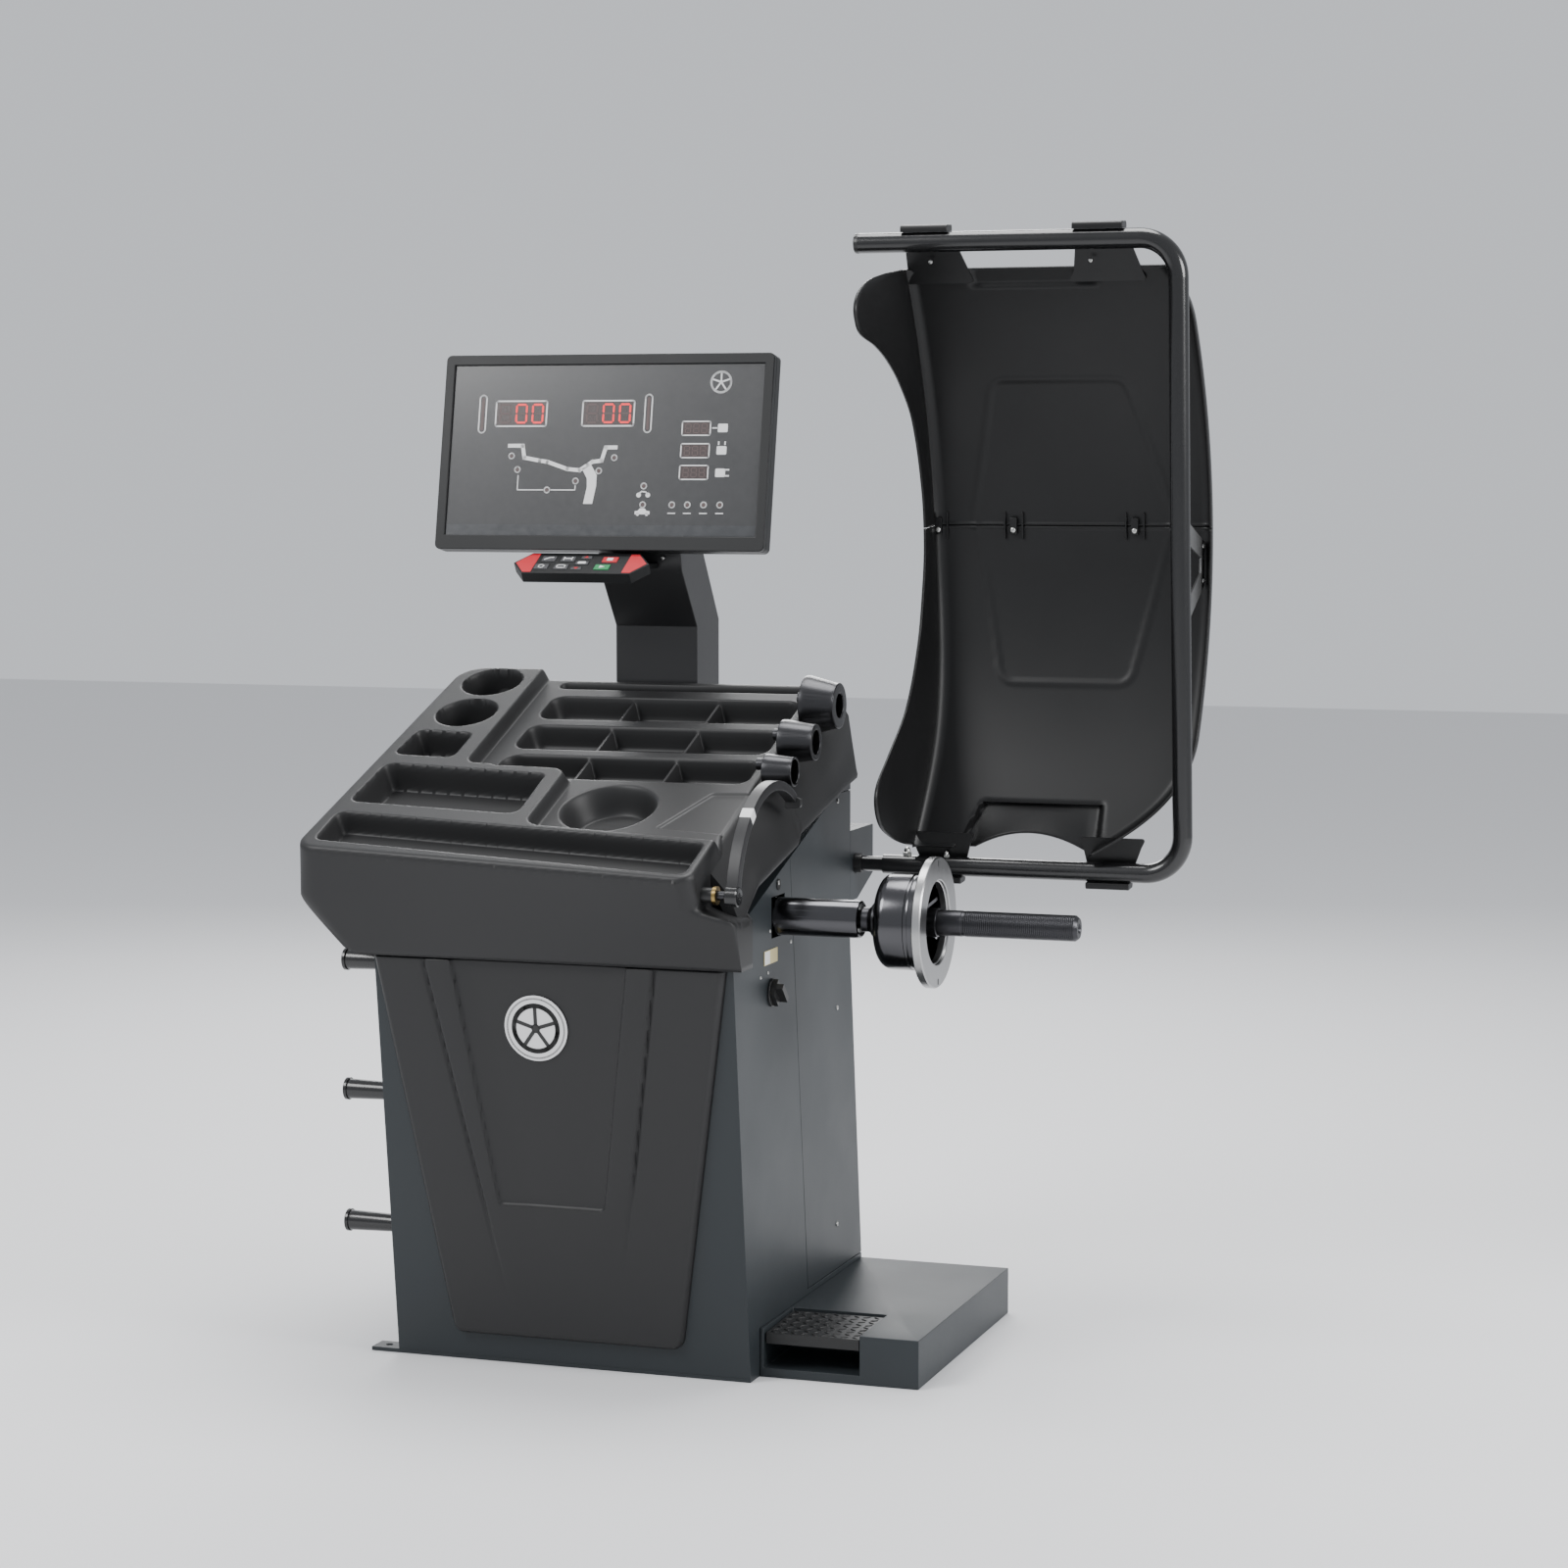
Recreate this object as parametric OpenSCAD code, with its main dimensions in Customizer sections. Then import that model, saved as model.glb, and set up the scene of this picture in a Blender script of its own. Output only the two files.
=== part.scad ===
// Wheel balancer: cabinet with inclined weight tray, display on an arm,
// motor-driven spindle with flange and cones, distance gauge, swing-over wheel hood and foot brake.
// Millimetres. Origin on the floor, under the spindle axis and in the cabinet's middle.
// +X along the spindle to its free end, +Y to the back, +Z up.

/* [Cabinet] */
// Width of the sheet steel cabinet
cab_w = 592; // [560:2:600]
// Depth of the cabinet where it meets the floor
cab_d = 577; // [560:1:590]
// Height of the front edge of the cabinet's top
cab_front_h = 700; // [690:1:706]
// Height of the back edge of the cabinet's top
cab_rear_h = 899; // [890:1:904]
// Sheet thickness
sheet_t = 2.5; // [2:0.5:3]
// Height where the back wall stops leaning and turns upright
rear_knee_z = 620; // [560:5:680]

/* [Spindle] */
// Height of the spindle axis
spindle_z = 708; // [704:1:716]
// Radius of the threaded clamping shaft
shaft_r = 20; // [18:0.5:20]
// Distance of the shaft's free end from the cabinet's middle
shaft_end_x = 777; // [740:1:800]
// Radius of the bearing housing tube
housing_r = 29.5; // [28:0.5:31]
// Radius of the clamping flange
flange_r = 101; // [94:1:104]
// Thickness of the clamping flange
flange_t = 14; // [10:1:16]
// Outer radius of the bell behind the flange
bell_r = 75; // [70:1:78]
// Front face of the flange, from the cabinet's middle
flange_x = 555; // [545:1:565]

/* [Weight tray] */
// Incline of the tray's working surface, in degrees
tray_tilt = 22; // [21:0.5:22.5]
// Height of the raised left and front block above the weight boxes
step_h = 21; // [16:1:24]
// Depth of the weight boxes
box_depth = 40; // [30:1:44]
// Wall thickness of the moulding
wall_t = 4; // [3:0.5:4]
// Radius of the two cups
cup_r = 51.5; // [48:0.5:52]
// Radius of the round bowl
bowl_r = 79; // [70:1:80]

/* [Display] */
// Width of the monitor
mon_w = 580; // [560:2:590]
// Height of the monitor
mon_h = 327; // [315:1:332]
// Depth of the monitor
mon_d = 42; // [40:1:46]
// Backward tilt of the monitor, in degrees
mon_tilt = 10.5; // [9:0.5:12]

/* [Hood] */
// Radius of the hood's frame tube
tube_r = 16; // [15:0.5:16]
// Distance between the hood frame's lower and upper tubes
hood_h = 1016; // [1000:1:1020]
// Forward lean of the parked hood, in degrees
hood_lean = 4.5; // [4:0.5:5]
// How far the shell bulges behind the frame
hood_bulge = 164; // [150:1:168]
// Shell thickness of the hood
hood_t = 4; // [3:0.5:4]

/* [Plinth and pedal] */
// Height of the plinth beside the cabinet
plinth_h = 76; // [72:1:80]
// Width of the plinth
plinth_w = 256; // [240:1:260]
// Width of the foot pedal
pedal_w = 150; // [140:1:152]

/* [Hidden] */
$fn = 64;

// Cabinet geometry: the front wall leans, the back wall is upright above the knee
half_w = cab_w/2;
front_y0 = -132;
front_lean = 0.12;
base_t = 6;
cab_rear_y = 370;
rear_floor_y = front_y0 + cab_d;
top_slope = (cab_rear_h - cab_front_h)/(cab_rear_y - front_y(cab_front_h));
seam_gap = 1.2;
panel_bottom_z = 84;
spindle_hole = 64;
tab_y = [-112, 425];
tab_hole_r = 6;
switch_pos = [-32, 592];
plate_pos = [-37, 649];
plate_size = [62, 22];
recess_depth = 5;
badge_r = 52;
badge_at = [-26, 551];
peg_y = -95;
peg_z = [622, 413, 200];
peg_len = 98;
peg_r = 13.5;
peg_end_r = 16;

// Tray plane: local x across, y up the incline, z square to the surface; zero on the raised rim
tray_y0 = -280;
tray_z0 = 807.4;
skew = -5;
cell_x = [-203, -53, 96];
cell_w = 137;
trough_depth = 33;
back_y = 368;
row_s = [324, 426, 536];
row_len = [80, 86, 85];
bowl_pos = [37, 228];
cup_s = [510, 627];
cup_x = -314;
cone_x = 263;
cone_at = [[240, 1020], [120, 970], [38, 930]];
cone_r1 = [48, 35, 27];
cone_r2 = [37, 29, 23.5];
cone_len = [56, 56, 48];
cone_bore_r = 20.05;
cone_peg_r = 9.5;
flank_x = 310;

// Drive train
pulley_x = 18;
pulley_w = 20;
big_pulley_r = 42;
small_pulley_r = 14;
motor_at = [45, 430];
belt_t = 3;
bearing_x = [70, 405];
bearing_w = 22;
journal_r = 15;

// Display
mon_at = [-103, 275, 1427];
screen_w = 548;
screen_h = 288;
pad_at = [-122, 225, 1245];
pad_tilt = 30;
pad_w = 238;
pad_tip = 24;
pad_d = 62;
pad_t = 18;
pad_wall = 3;
pad_neck_y = [236, 297.8];
key_z = 1.5;
key_gap = 0.4;
// Place and size of each key on the keypad, in the order of the key modules
key_at = [[-60, 12], [-26, 12], [-66, -12], [-31, -12], [5, 17], [2, 0], [-3, -17], [48, 11], [41, -12]];
key_size = [[24, 15], [24, 15], [24, 15], [24, 15], [18, 8], [22, 10], [18, 8], [26, 15], [26, 15]];

// Hood, in its own plane: x across, y behind the frame, z up from the pivot axis
pivot_y = 400;
pivot_z = 748;
hood_left_x = 392;
hood_right_x = 867;
tube_right_x = 848;
bend_r = 62;
hood_mid = hood_h/2 + 39;
arc_half = 490;
arc_r = (arc_half*arc_half + pow(hood_bulge - 24, 2))/(2*(hood_bulge - 24));
edge_r = 350;
leg_w = 80;
lip_h = 10;
bracket_z = hood_mid - 60;

// Gauge and pedal
rod_at = [-250, 768];
rod_r = 7;
arm_c = [-75, 742];
arm_r = 176;
arm_half = 9;
plinth_x0 = half_w + 0.5;
plinth_y = [-90, 434];
recess_x = [302, 458];
recess_y = 56;
recess_wall = 3;
pedal_hinge = [46, 64];

function front_y(z) = front_y0 - front_lean*z;
function rear_y(z) = z > rear_knee_z ? cab_rear_y
    : rear_floor_y + (cab_rear_y - rear_floor_y)*z/rear_knee_z;
function top_z(y) = cab_front_h + (y - front_y(cab_front_h))*top_slope;
function seam_y(z) = 158.7 - 0.1285*z;
// A cone hangs on its peg, so the peg touches the top of the bore
function peg_axis(i) = [cone_at[i][0], cone_at[i][1] + cone_bore_r - cone_peg_r - 0.1];
// Depth of the hood shell's outer face behind the frame
function shell_y(z) = hood_bulge - arc_r + sqrt(arc_r*arc_r - pow(z - hood_mid, 2));
function arc_pts(cx, cy, r, a0, a1, n = 16) =
    [for (i = [0:n]) let (a = a0 + (a1 - a0)*i/n) [cx + r*cos(a), cy + r*sin(a)]];

// 2D outline in Y-Z, extruded along X
module along_x(x0, x1) {
    translate([x0, 0, 0]) rotate([90, 0, 90]) linear_extrude(x1 - x0) children();
}
// 2D outline in X-Z, extruded along Y
module along_y(y0, y1) {
    translate([0, y1, 0]) rotate([90, 0, 0]) linear_extrude(y1 - y0) children();
}
// Cylinder along X at a Y-Z position
module rod_x(x0, x1, r, at = [0, spindle_z]) {
    translate([x0, at[0], at[1]]) rotate([0, 90, 0]) cylinder(h = x1 - x0, r = r);
}
module tube_x(x0, x1, r, bore, at = [0, spindle_z]) {
    difference() {
        rod_x(x0, x1, r, at);
        rod_x(x0 - 1, x1 + 1, bore, at);
    }
}
// Rectangle with round corners
module rrect(w, h, r, n = 6) {
    polygon(concat(arc_pts(w - r, h - r, r, 0, 90, n), arc_pts(r, h - r, r, 90, 180, n),
        arc_pts(r, r, r, 180, 270, n), arc_pts(w - r, r, r, 270, 360, n)));
}
module on_tray() {
    translate([0, tray_y0, tray_z0]) rotate([tray_tilt, 0, 0]) children();
}
module on_monitor() {
    translate(mon_at) rotate([-mon_tilt, 0, 0]) children();
}
module on_pad() {
    translate(pad_at) rotate([pad_tilt, 0, 0]) children();
}
module on_hood() {
    translate([0, pivot_y, pivot_z]) rotate([hood_lean, 0, 0]) children();
}
module on_front() {
    translate([0, front_y0, 0]) rotate([atan(front_lean), 0, 0]) children();
}

// ---- cabinet ----
module cab_outline(d = 0, z0 = base_t) {
    polygon([[front_y(z0) + d, z0], [rear_y(z0) - d, z0], [cab_rear_y - d, rear_knee_z],
        [cab_rear_y - d, top_z(cab_rear_y) - d], [front_y(cab_front_h - d) + d, cab_front_h - d]]);
}
module seam_area(gap = 0) {
    polygon([[seam_y(panel_bottom_z) + gap, panel_bottom_z + gap],
        [rear_floor_y + 40, panel_bottom_z + gap], [rear_floor_y + 40, cab_rear_h + 40],
        [seam_y(cab_rear_h + 40) + gap, cab_rear_h + 40]]);
}
module base_frame() {
    color("dimgray") difference() {
        union() {
            translate([-half_w, front_y0, 0]) cube([cab_w, cab_d, base_t]);
            for (y = tab_y) translate([-half_w - 48, y - 20, 0]) cube([49, 40, base_t]);
        }
        for (y = tab_y) translate([-half_w - 26, y, -1]) cylinder(h = base_t + 2, r = tab_hole_r);
    }
}
module cabinet_shell() {
    color("slategray") difference() {
        along_x(-half_w, half_w) cab_outline();
        along_x(-half_w + sheet_t, half_w - sheet_t) cab_outline(sheet_t, 0);
        translate([-half_w + 18, cab_rear_y - 20, base_t + 20]) cube([cab_w - 36, 160, cab_rear_h - 80]);
        intersection() {
            along_x(half_w - sheet_t - 1, half_w + 1) seam_area();
            along_x(half_w - sheet_t - 2, half_w + 2)
                translate([0, -2]) square([cab_rear_y + 200, cab_rear_h - 24]);
        }
        translate([half_w - 10, -spindle_hole/2, spindle_z - spindle_hole/2])
            cube([20, spindle_hole, spindle_hole]);
        rod_x(half_w - 10, half_w + 10, 8.1, switch_pos);
    }
}
module side_panel() {
    color("slategray") intersection() {
        along_x(half_w - sheet_t, half_w) cab_outline();
        along_x(half_w - sheet_t - 1, half_w + 1) seam_area(seam_gap);
        along_x(half_w - sheet_t - 2, half_w + 2)
            translate([0, -2]) square([cab_rear_y + 200, cab_rear_h - 24 - seam_gap]);
    }
}
module rear_panel() {
    z0 = 28;
    z1 = cab_rear_h - 55;
    t = 2;
    color("slategray") difference() {
        along_x(-half_w + 19, half_w - 19) polygon([[rear_y(z0), z0], [cab_rear_y, rear_knee_z],
            [cab_rear_y, z1], [cab_rear_y - t, z1], [cab_rear_y - t, rear_knee_z], [rear_y(z0) - t, z0]]);
        for (i = [0:7]) translate([-80, 300, 180 + 22*i]) cube([160, 200, 7]);
    }
}
module recess_outline(d = 0) {
    polygon([[-164 - d, 641], [131 + d, 641], [74 + d, 264 - d], [-103 - d, 264 - d]]);
}
module front_cover() {
    left = [-295, -198];
    right = [287, 192];
    h0 = 44;
    h1 = 655;
    t = 13;
    skin = 2.5;
    color("#333436") on_front() difference() {
        along_y(-t - 0.4, -0.4) polygon(concat([[right[0], h1], [left[0], h1]],
            arc_pts(left[1] + 22, h0 + 20, 20, 190, 270, 6),
            arc_pts(right[1] - 22, h0 + 20, 20, 270, 350, 6)));
        along_y(-t - 1, -t + recess_depth - 0.4) recess_outline();
        difference() {
            along_y(-t + skin - 0.4, 0) polygon([[left[0] + 8, h1 - 6], [right[0] - 8, h1 - 6],
                [right[1] - 8, h0 + 8], [left[1] + 8, h0 + 8]]);
            along_y(-t, 1) recess_outline(skin);
        }
    }
}
module front_badge() {
    color("gainsboro") on_front() translate([badge_at[0], recess_depth - 13.6, badge_at[1]])
        rotate([90, 0, 0]) cylinder(h = 2, r = badge_r);
}
module storage_pegs() {
    color("#2c2d2f") for (z = peg_z) {
        translate([-half_w - peg_len, peg_y, z]) rotate([0, 90, 0])
            cylinder(h = peg_len - 0.2, r1 = peg_end_r, r2 = peg_r);
        rod_x(-half_w - peg_len - 6, -half_w - peg_len, peg_end_r + 2, [peg_y, z]);
    }
}
module data_plate() {
    color("khaki") translate([half_w + 0.1, plate_pos[0] - plate_size[0]/2, plate_pos[1] - plate_size[1]/2])
        cube([0.8, plate_size[0], plate_size[1]]);
}
module power_switch() {
    color("#202122") {
        translate([half_w - 32, switch_pos[0] - 21, switch_pos[1] - 21]) cube([28, 42, 42]);
        tube_x(half_w + 0.2, half_w + 4, 22, 8.1, switch_pos);
    }
}
module switch_knob() {
    color("#26272a") translate([0, switch_pos[0], switch_pos[1]]) rotate([45, 0, 0]) {
        rotate([0, 90, 0]) translate([0, 0, half_w - 3]) cylinder(h = 12, r = 8);
        translate([half_w + 4.3, -15, -15]) cube([7, 30, 30]);
        translate([half_w + 11, -5, -17]) cube([12, 10, 34]);
    }
}

// ---- weight tray ----
function cross(x, s) = [x, s + tan(skew)*(x + 69)];
module block_outline(d = 0) {
    polygon(concat([cross(248 - d, d)], [cross(262 - d, 14 + d)], [cross(262 - d, 134 - d)],
        [cross(-61 - d, 136 - d)], [[-61 - d, 320 - d], [-241 - d, 335 - d]],
        arc_pts(-265 - d, 664 - d, 24, 0, 90, 6), arc_pts(-342 + d, 640 - d, 48, 90, 178, 8),
        arc_pts(-385 + d, 76 + d, 30, 180, 268, 6)));
}
module low_outline(d = 0) {
    polygon([cross(252 - d, 20 + d), [252 - d, 682 - d], [-300, 682 - d], [-300, 500], cross(-380, 60 + d)]);
}
module flank_outline() {
    polygon([[250, 60], [flank_x - 4, 60], [flank_x, 200], [flank_x - 4, 700], [250, 700]]);
}
// One round-cornered pocket given by its left front corner, size, corner radius and floor level
module pocket(x, s, w, l, r, top, depth, turn = 0, grow = 0) {
    translate([x, s, top - depth - grow]) rotate([0, 0, turn]) translate([-grow, -grow, 0])
        linear_extrude(depth + grow + (grow > 0 ? 0 : 1)) rrect(w + 2*grow, l + 2*grow, r + grow);
}
module tray_pockets(grow = 0) {
    for (i = [0:2], j = [0:2])
        pocket(cell_x[i], row_s[j], cell_w, row_len[j], 14, -step_h, box_depth, 0, grow);
    pocket(-200, 655, 420, 15, 7, -step_h, 20, 0, grow);
    pocket(-391, 50, 640, 98, 16, 0, trough_depth, skew, grow);
    pocket(-386, 186, 300, 132, 16, 0, 50, skew + 1, grow);
    pocket(-378, 352, 108, 88, 14, 0, 50, skew + 1, grow);
    for (s = cup_s) translate([cup_x, s, -60 - grow])
        cylinder(h = 61 + (grow > 0 ? -1 + grow : 0), r = cup_r + grow);
    translate([bowl_pos[0], bowl_pos[1], -step_h - 45 - grow])
        cylinder(h = 46 + (grow > 0 ? -1 + grow : 0), r = bowl_r + grow);
}
// Hollow body of the tray: surface plates, right flank and skewed front, inset by d for the inside
module tray_body(d = 0) {
    difference() {
        union() {
            on_tray() {
                translate([0, 0, -130 - d]) linear_extrude(130 - step_h) low_outline(d);
                translate([0, 0, -130 - d]) linear_extrude(130) block_outline(d);
                if (d == 0) translate([0, 0, -128]) linear_extrude(43) flank_outline();
            }
            tray_front(d);
        }
        translate([-600, back_y - d, 500]) cube([1200, 300, 800]);
        translate([0.7*d, 0, 0.7*d]) along_y(-400, 400)
            polygon([[-424, 738], [-336, 650], [-336, 560], [-700, 560], [-700, 738]]);
    }
}
module tray_front(d) {
    translate([-69, tray_y0, 0]) rotate([0, 0, skew]) difference() {
        along_x(-344 + d, 384 - d) polygon([[-11 + d, 789], [48 + d, 651 + d], [120, 651 + d],
            [120, 840 - 2*d], [6 + d, 809 - 1.2*d]]);
        translate([330 - d, -100, 736 - d]) cube([100, 400, 200]);
    }
}
module weight_tray() {
    color("#36373a") difference() {
        tray_body();
        difference() {
            tray_body(wall_t);
            on_tray() tray_pockets(wall_t);
        }
        on_tray() tray_pockets();
        along_x(-half_w - 0.5, half_w + 0.5) polygon([[front_y(600) - 0.5, 600], [cab_rear_y + 120, 600],
            [cab_rear_y + 120, top_z(cab_rear_y + 120) + 0.5],
            [front_y(cab_front_h) - 0.5, cab_front_h + 0.5]]);
        rod_x(254, 275, rod_r + 5.1, rod_at);
        for (i = [0:2]) rod_x(240, 260, cone_peg_r, peg_axis(i));
    }
}
module cone_pegs() {
    color("silver") for (i = [0:2])
        rod_x(249, cone_x + cone_len[i] - 12, cone_peg_r, peg_axis(i));
}
module cone(i) {
    translate([cone_x, cone_at[i][0], cone_at[i][1]]) rotate([0, 90, 0]) difference() {
        union() {
            cylinder(h = 8, r = cone_r1[i]);
            translate([0, 0, 8]) cylinder(h = cone_len[i] - 14, r1 = cone_r1[i], r2 = cone_r2[i]);
            translate([0, 0, cone_len[i] - 6]) cylinder(h = 6, r = cone_r2[i]);
        }
        translate([0, 0, -1]) cylinder(h = cone_len[i] + 2, r = cone_bore_r);
    }
}
module cone_large() {
    color("#4a4b4e") cone(0);
}
module cone_medium() {
    color("#4a4b4e") cone(1);
}
module cone_small() {
    color("#4a4b4e") cone(2);
}

// ---- plinth and pedal ----
module wheel_plinth() {
    x1 = plinth_x0 + plinth_w;
    color("slategray") difference() {
        union() {
            difference() {
                translate([plinth_x0, plinth_y[0], 0]) cube([plinth_w, plinth_y[1] - plinth_y[0], plinth_h]);
                translate([plinth_x0 + 3, plinth_y[0] + 3, -1])
                    cube([plinth_w - 6, plinth_y[1] - plinth_y[0] - 6, plinth_h - 2]);
            }
            translate([recess_x[0] - recess_wall, plinth_y[0], 6])
                cube([recess_x[1] - recess_x[0] + 2*recess_wall, recess_y - plinth_y[0] + recess_wall,
                    plinth_h - 6]);
        }
        translate([recess_x[0], plinth_y[0] - 1, 14])
            cube([recess_x[1] - recess_x[0], recess_y - plinth_y[0] + 1, plinth_h]);
        rod_x(recess_x[0] - 2, recess_x[1] + 2, 5, pedal_hinge);
    }
}
module brake_pedal() {
    x0 = (recess_x[0] + recess_x[1] - pedal_w)/2;
    color("#5b5c5a") difference() {
        union() {
            translate([x0, pedal_hinge[0], pedal_hinge[1]]) rotate([2, 0, 0]) {
                translate([0, -130, 4]) cube([pedal_w, 132, 5]);
                translate([0, -130, -8]) cube([pedal_w, 4, 13]);
                for (x = [0, pedal_w - 4]) translate([x, -130, -8]) cube([4, 132, 13]);
            }
            for (x = [x0, x0 + pedal_w - 4]) rod_x(x - 0.5, x + 4.5, 7.6, pedal_hinge);
        }
        rod_x(x0 - 1, x0 + pedal_w + 1, 5.05, pedal_hinge);
    }
}
module pedal_pin() {
    color("silver") rod_x(recess_x[0] - 2, recess_x[1] + 2, 5, pedal_hinge);
}

// ---- display ----
module arm_outline(d = 0, back = 0) {
    polygon([[374 + d, 800 - 2*d], [482 + back, 800 - 2*d], [482 + back, 1146], [404 + back, 1262],
        [356 + back, 1326], [304 + d, 1326], [293 + d, 1266], [301 + d, 1232], [374 + d, 1137]]);
}
module monitor_arm() {
    color("#2a2b2d") difference() {
        along_x(-119, 26) arm_outline();
        along_x(-116, 23) arm_outline(3, 20);
    }
}
module monitor_bracket() {
    color("#222325") on_monitor() {
        translate([40, mon_d + 0.3, -115]) cube([40, 4, 60]);
        translate([-45, mon_d + 0.3, -150]) cube([190, 4, 90]);
    }
}
module monitor_housing() {
    color("#242527") on_monitor() difference() {
        union() {
            along_y(12.2, mon_d - 10) translate([-mon_w/2, -mon_h/2]) rrect(mon_w, mon_h, 9);
            along_y(mon_d - 10.1, mon_d) translate([-mon_w/2 + 40, -mon_h/2 + 30])
                rrect(mon_w - 80, mon_h - 60, 20);
        }
        along_y(12, mon_d - 13) translate([-mon_w/2 + 3, -mon_h/2 + 3]) rrect(mon_w - 6, mon_h - 6, 7);
        for (i = [0:11]) translate([-110 + 20*i, mon_d - 12, 70]) cube([8, 14, 40]);
    }
}
module monitor_bezel() {
    color("#2d2e31") on_monitor() difference() {
        along_y(0, 12) translate([-mon_w/2, -mon_h/2]) rrect(mon_w, mon_h, 9);
        along_y(-1, 13) translate([-screen_w/2, -mon_h/2 + 24]) square([screen_w, screen_h - 2]);
    }
}
module screen_glass() {
    color("#3b3c40") on_monitor() along_y(4, 8)
        translate([-screen_w/2 + 0.3, -mon_h/2 + 24.3]) square([screen_w - 0.6, screen_h - 2.6]);
}
module display_board() {
    color("darkgreen") on_monitor() {
        along_y(19, 21) translate([-250, -120]) square([500, 250]);
        for (x = [-186, -36]) along_y(9, 19) translate([x, 38]) square([84, 40]);
        for (z = [6, -28, -62]) along_y(9, 19) translate([138, z]) square([44, 20]);
    }
}
module pad_outline(d = 0) {
    w = pad_w/2 - d;
    t = pad_d/2 - d;
    polygon([[-w, 0], [-w + pad_tip, -t], [w - pad_tip, -t], [w, 0],
        [w - pad_tip, t], [-w + pad_tip, t]]);
}
module key_slot(i) {
    size = key_size[i] + [2*key_gap, 2*key_gap];
    translate([key_at[i][0] - size[0]/2, key_at[i][1] - size[1]/2, -5]) cube([size[0], size[1], 10]);
}
module keypad_housing() {
    color("#252628") {
        on_pad() difference() {
            translate([0, 0, -pad_t]) linear_extrude(pad_t) pad_outline();
            translate([0, 0, -pad_t + pad_wall]) linear_extrude(pad_t - 2*pad_wall) pad_outline(pad_wall);
            for (i = [0:8]) key_slot(i);
        }
        translate([-95, pad_neck_y[0], 1236]) cube([80, pad_neck_y[1] - pad_neck_y[0], 8]);
    }
}
module key(i) {
    on_pad() translate([key_at[i][0] - key_size[i][0]/2, key_at[i][1] - key_size[i][1]/2, -4])
        cube([key_size[i][0], key_size[i][1], 4 + key_z]);
}
module key_distance() {
    color("#3c3d40") key(0);
}
module key_width() {
    color("#3c3d40") key(1);
}
module key_diameter() {
    color("#3c3d40") key(2);
}
module key_mode() {
    color("#3c3d40") key(3);
}
module key_up() {
    color("#3c3d40") key(4);
}
module key_enter() {
    color("#3c3d40") key(5);
}
module key_down() {
    color("#3c3d40") key(6);
}
module key_stop() {
    color("crimson") key(7);
}
module key_start() {
    color("limegreen") key(8);
}

// ---- spindle and drive ----
module spindle_support() {
    color("dimgray") difference() {
        union() {
            translate([-half_w + sheet_t + 0.2, -90, 552]) cube([cab_w - 2*sheet_t - 0.4, 200, 8]);
            for (x = [75, 240]) along_x(x, x + 10)
                polygon([[-66, 559], [66, 559], [66, 752], [-10, 752], [-66, 734]]);
            translate([84, -6, 559]) cube([157, 12, 100]);
        }
        translate([8, -80, 540]) cube([42, 175, 30]);
        rod_x(60, 260, housing_r + 0.1);
    }
}
module spindle_housing() {
    color("#56575b") difference() {
        rod_x(62, 433, housing_r);
        rod_x(61, 434, 26.05);
    }
}
module spindle_bearings() {
    color("silver") for (x = bearing_x) tube_x(x, x + bearing_w, 26, journal_r + 0.05);
}
module piezo_sensors() {
    color("goldenrod") for (y = [-52, 52]) translate([160, y, 560.2]) cylinder(h = 14, r = 14);
}
module drive_motor() {
    color("#3d4752") {
        rod_x(56, 200, 55, motor_at);
        rod_x(pulley_x - 4, 57, 8, motor_at);
        translate([70, motor_at[0] - 30, motor_at[1] + 40]) cube([110, 60, 551.8 - motor_at[1] - 40]);
    }
}
module motor_pulley() {
    color("silver") difference() {
        union() {
            rod_x(pulley_x, pulley_x + pulley_w, small_pulley_r, motor_at);
            rod_x(pulley_x - 2, pulley_x, small_pulley_r + 4, motor_at);
        }
        rod_x(pulley_x - 5, pulley_x + pulley_w + 5, 8.05, motor_at);
    }
}
module spindle_pulley() {
    color("silver") tube_x(pulley_x - 2, pulley_x + pulley_w, big_pulley_r, journal_r);
}
module belt_loop(d) {
    hull() {
        translate([0, spindle_z]) circle(big_pulley_r + d);
        translate(motor_at) circle(small_pulley_r + d);
    }
}
module drive_belt() {
    color("#1c1c1c") along_x(pulley_x + 2, pulley_x + pulley_w - 2) difference() {
        belt_loop(belt_t + 0.4);
        belt_loop(0.4);
    }
}
module encoder_disc() {
    color("silver") difference() {
        tube_x(50, 52, 42, journal_r);
        for (a = [0:15:345]) translate([49, 0, spindle_z]) rotate([a, 0, 0])
            translate([0, -1.5, 33]) cube([4, 3, 7]);
    }
}
module spindle_shaft() {
    color("#47484b") difference() {
        union() {
            rod_x(8, 441, journal_r);
            rod_x(436, 450, 19);
            rod_x(449, 466, 29.5);
            rod_x(465, flange_x + 1, 22);
            rod_x(flange_x, shaft_end_x - 5, shaft_r);
            translate([shaft_end_x - 5, 0, spindle_z]) rotate([0, 90, 0])
                cylinder(h = 5, r1 = shaft_r, r2 = shaft_r - 4);
        }
        rod_x(shaft_end_x - 18, shaft_end_x + 1, 5);
    }
}
module backing_bell() {
    color("#5d5e62") translate([0, 0, spindle_z]) rotate([0, 90, 0]) rotate_extrude() difference() {
        polygon(concat([[22.05, 467]], [[46, 467]], arc_pts(bell_r - 18, 487, 18, -60, 0, 8),
            [[bell_r, flange_x - flange_t - 0.2], [22.05, flange_x - flange_t - 0.2]]));
        translate([0, 492]) square([62, 100]);
    }
}
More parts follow.
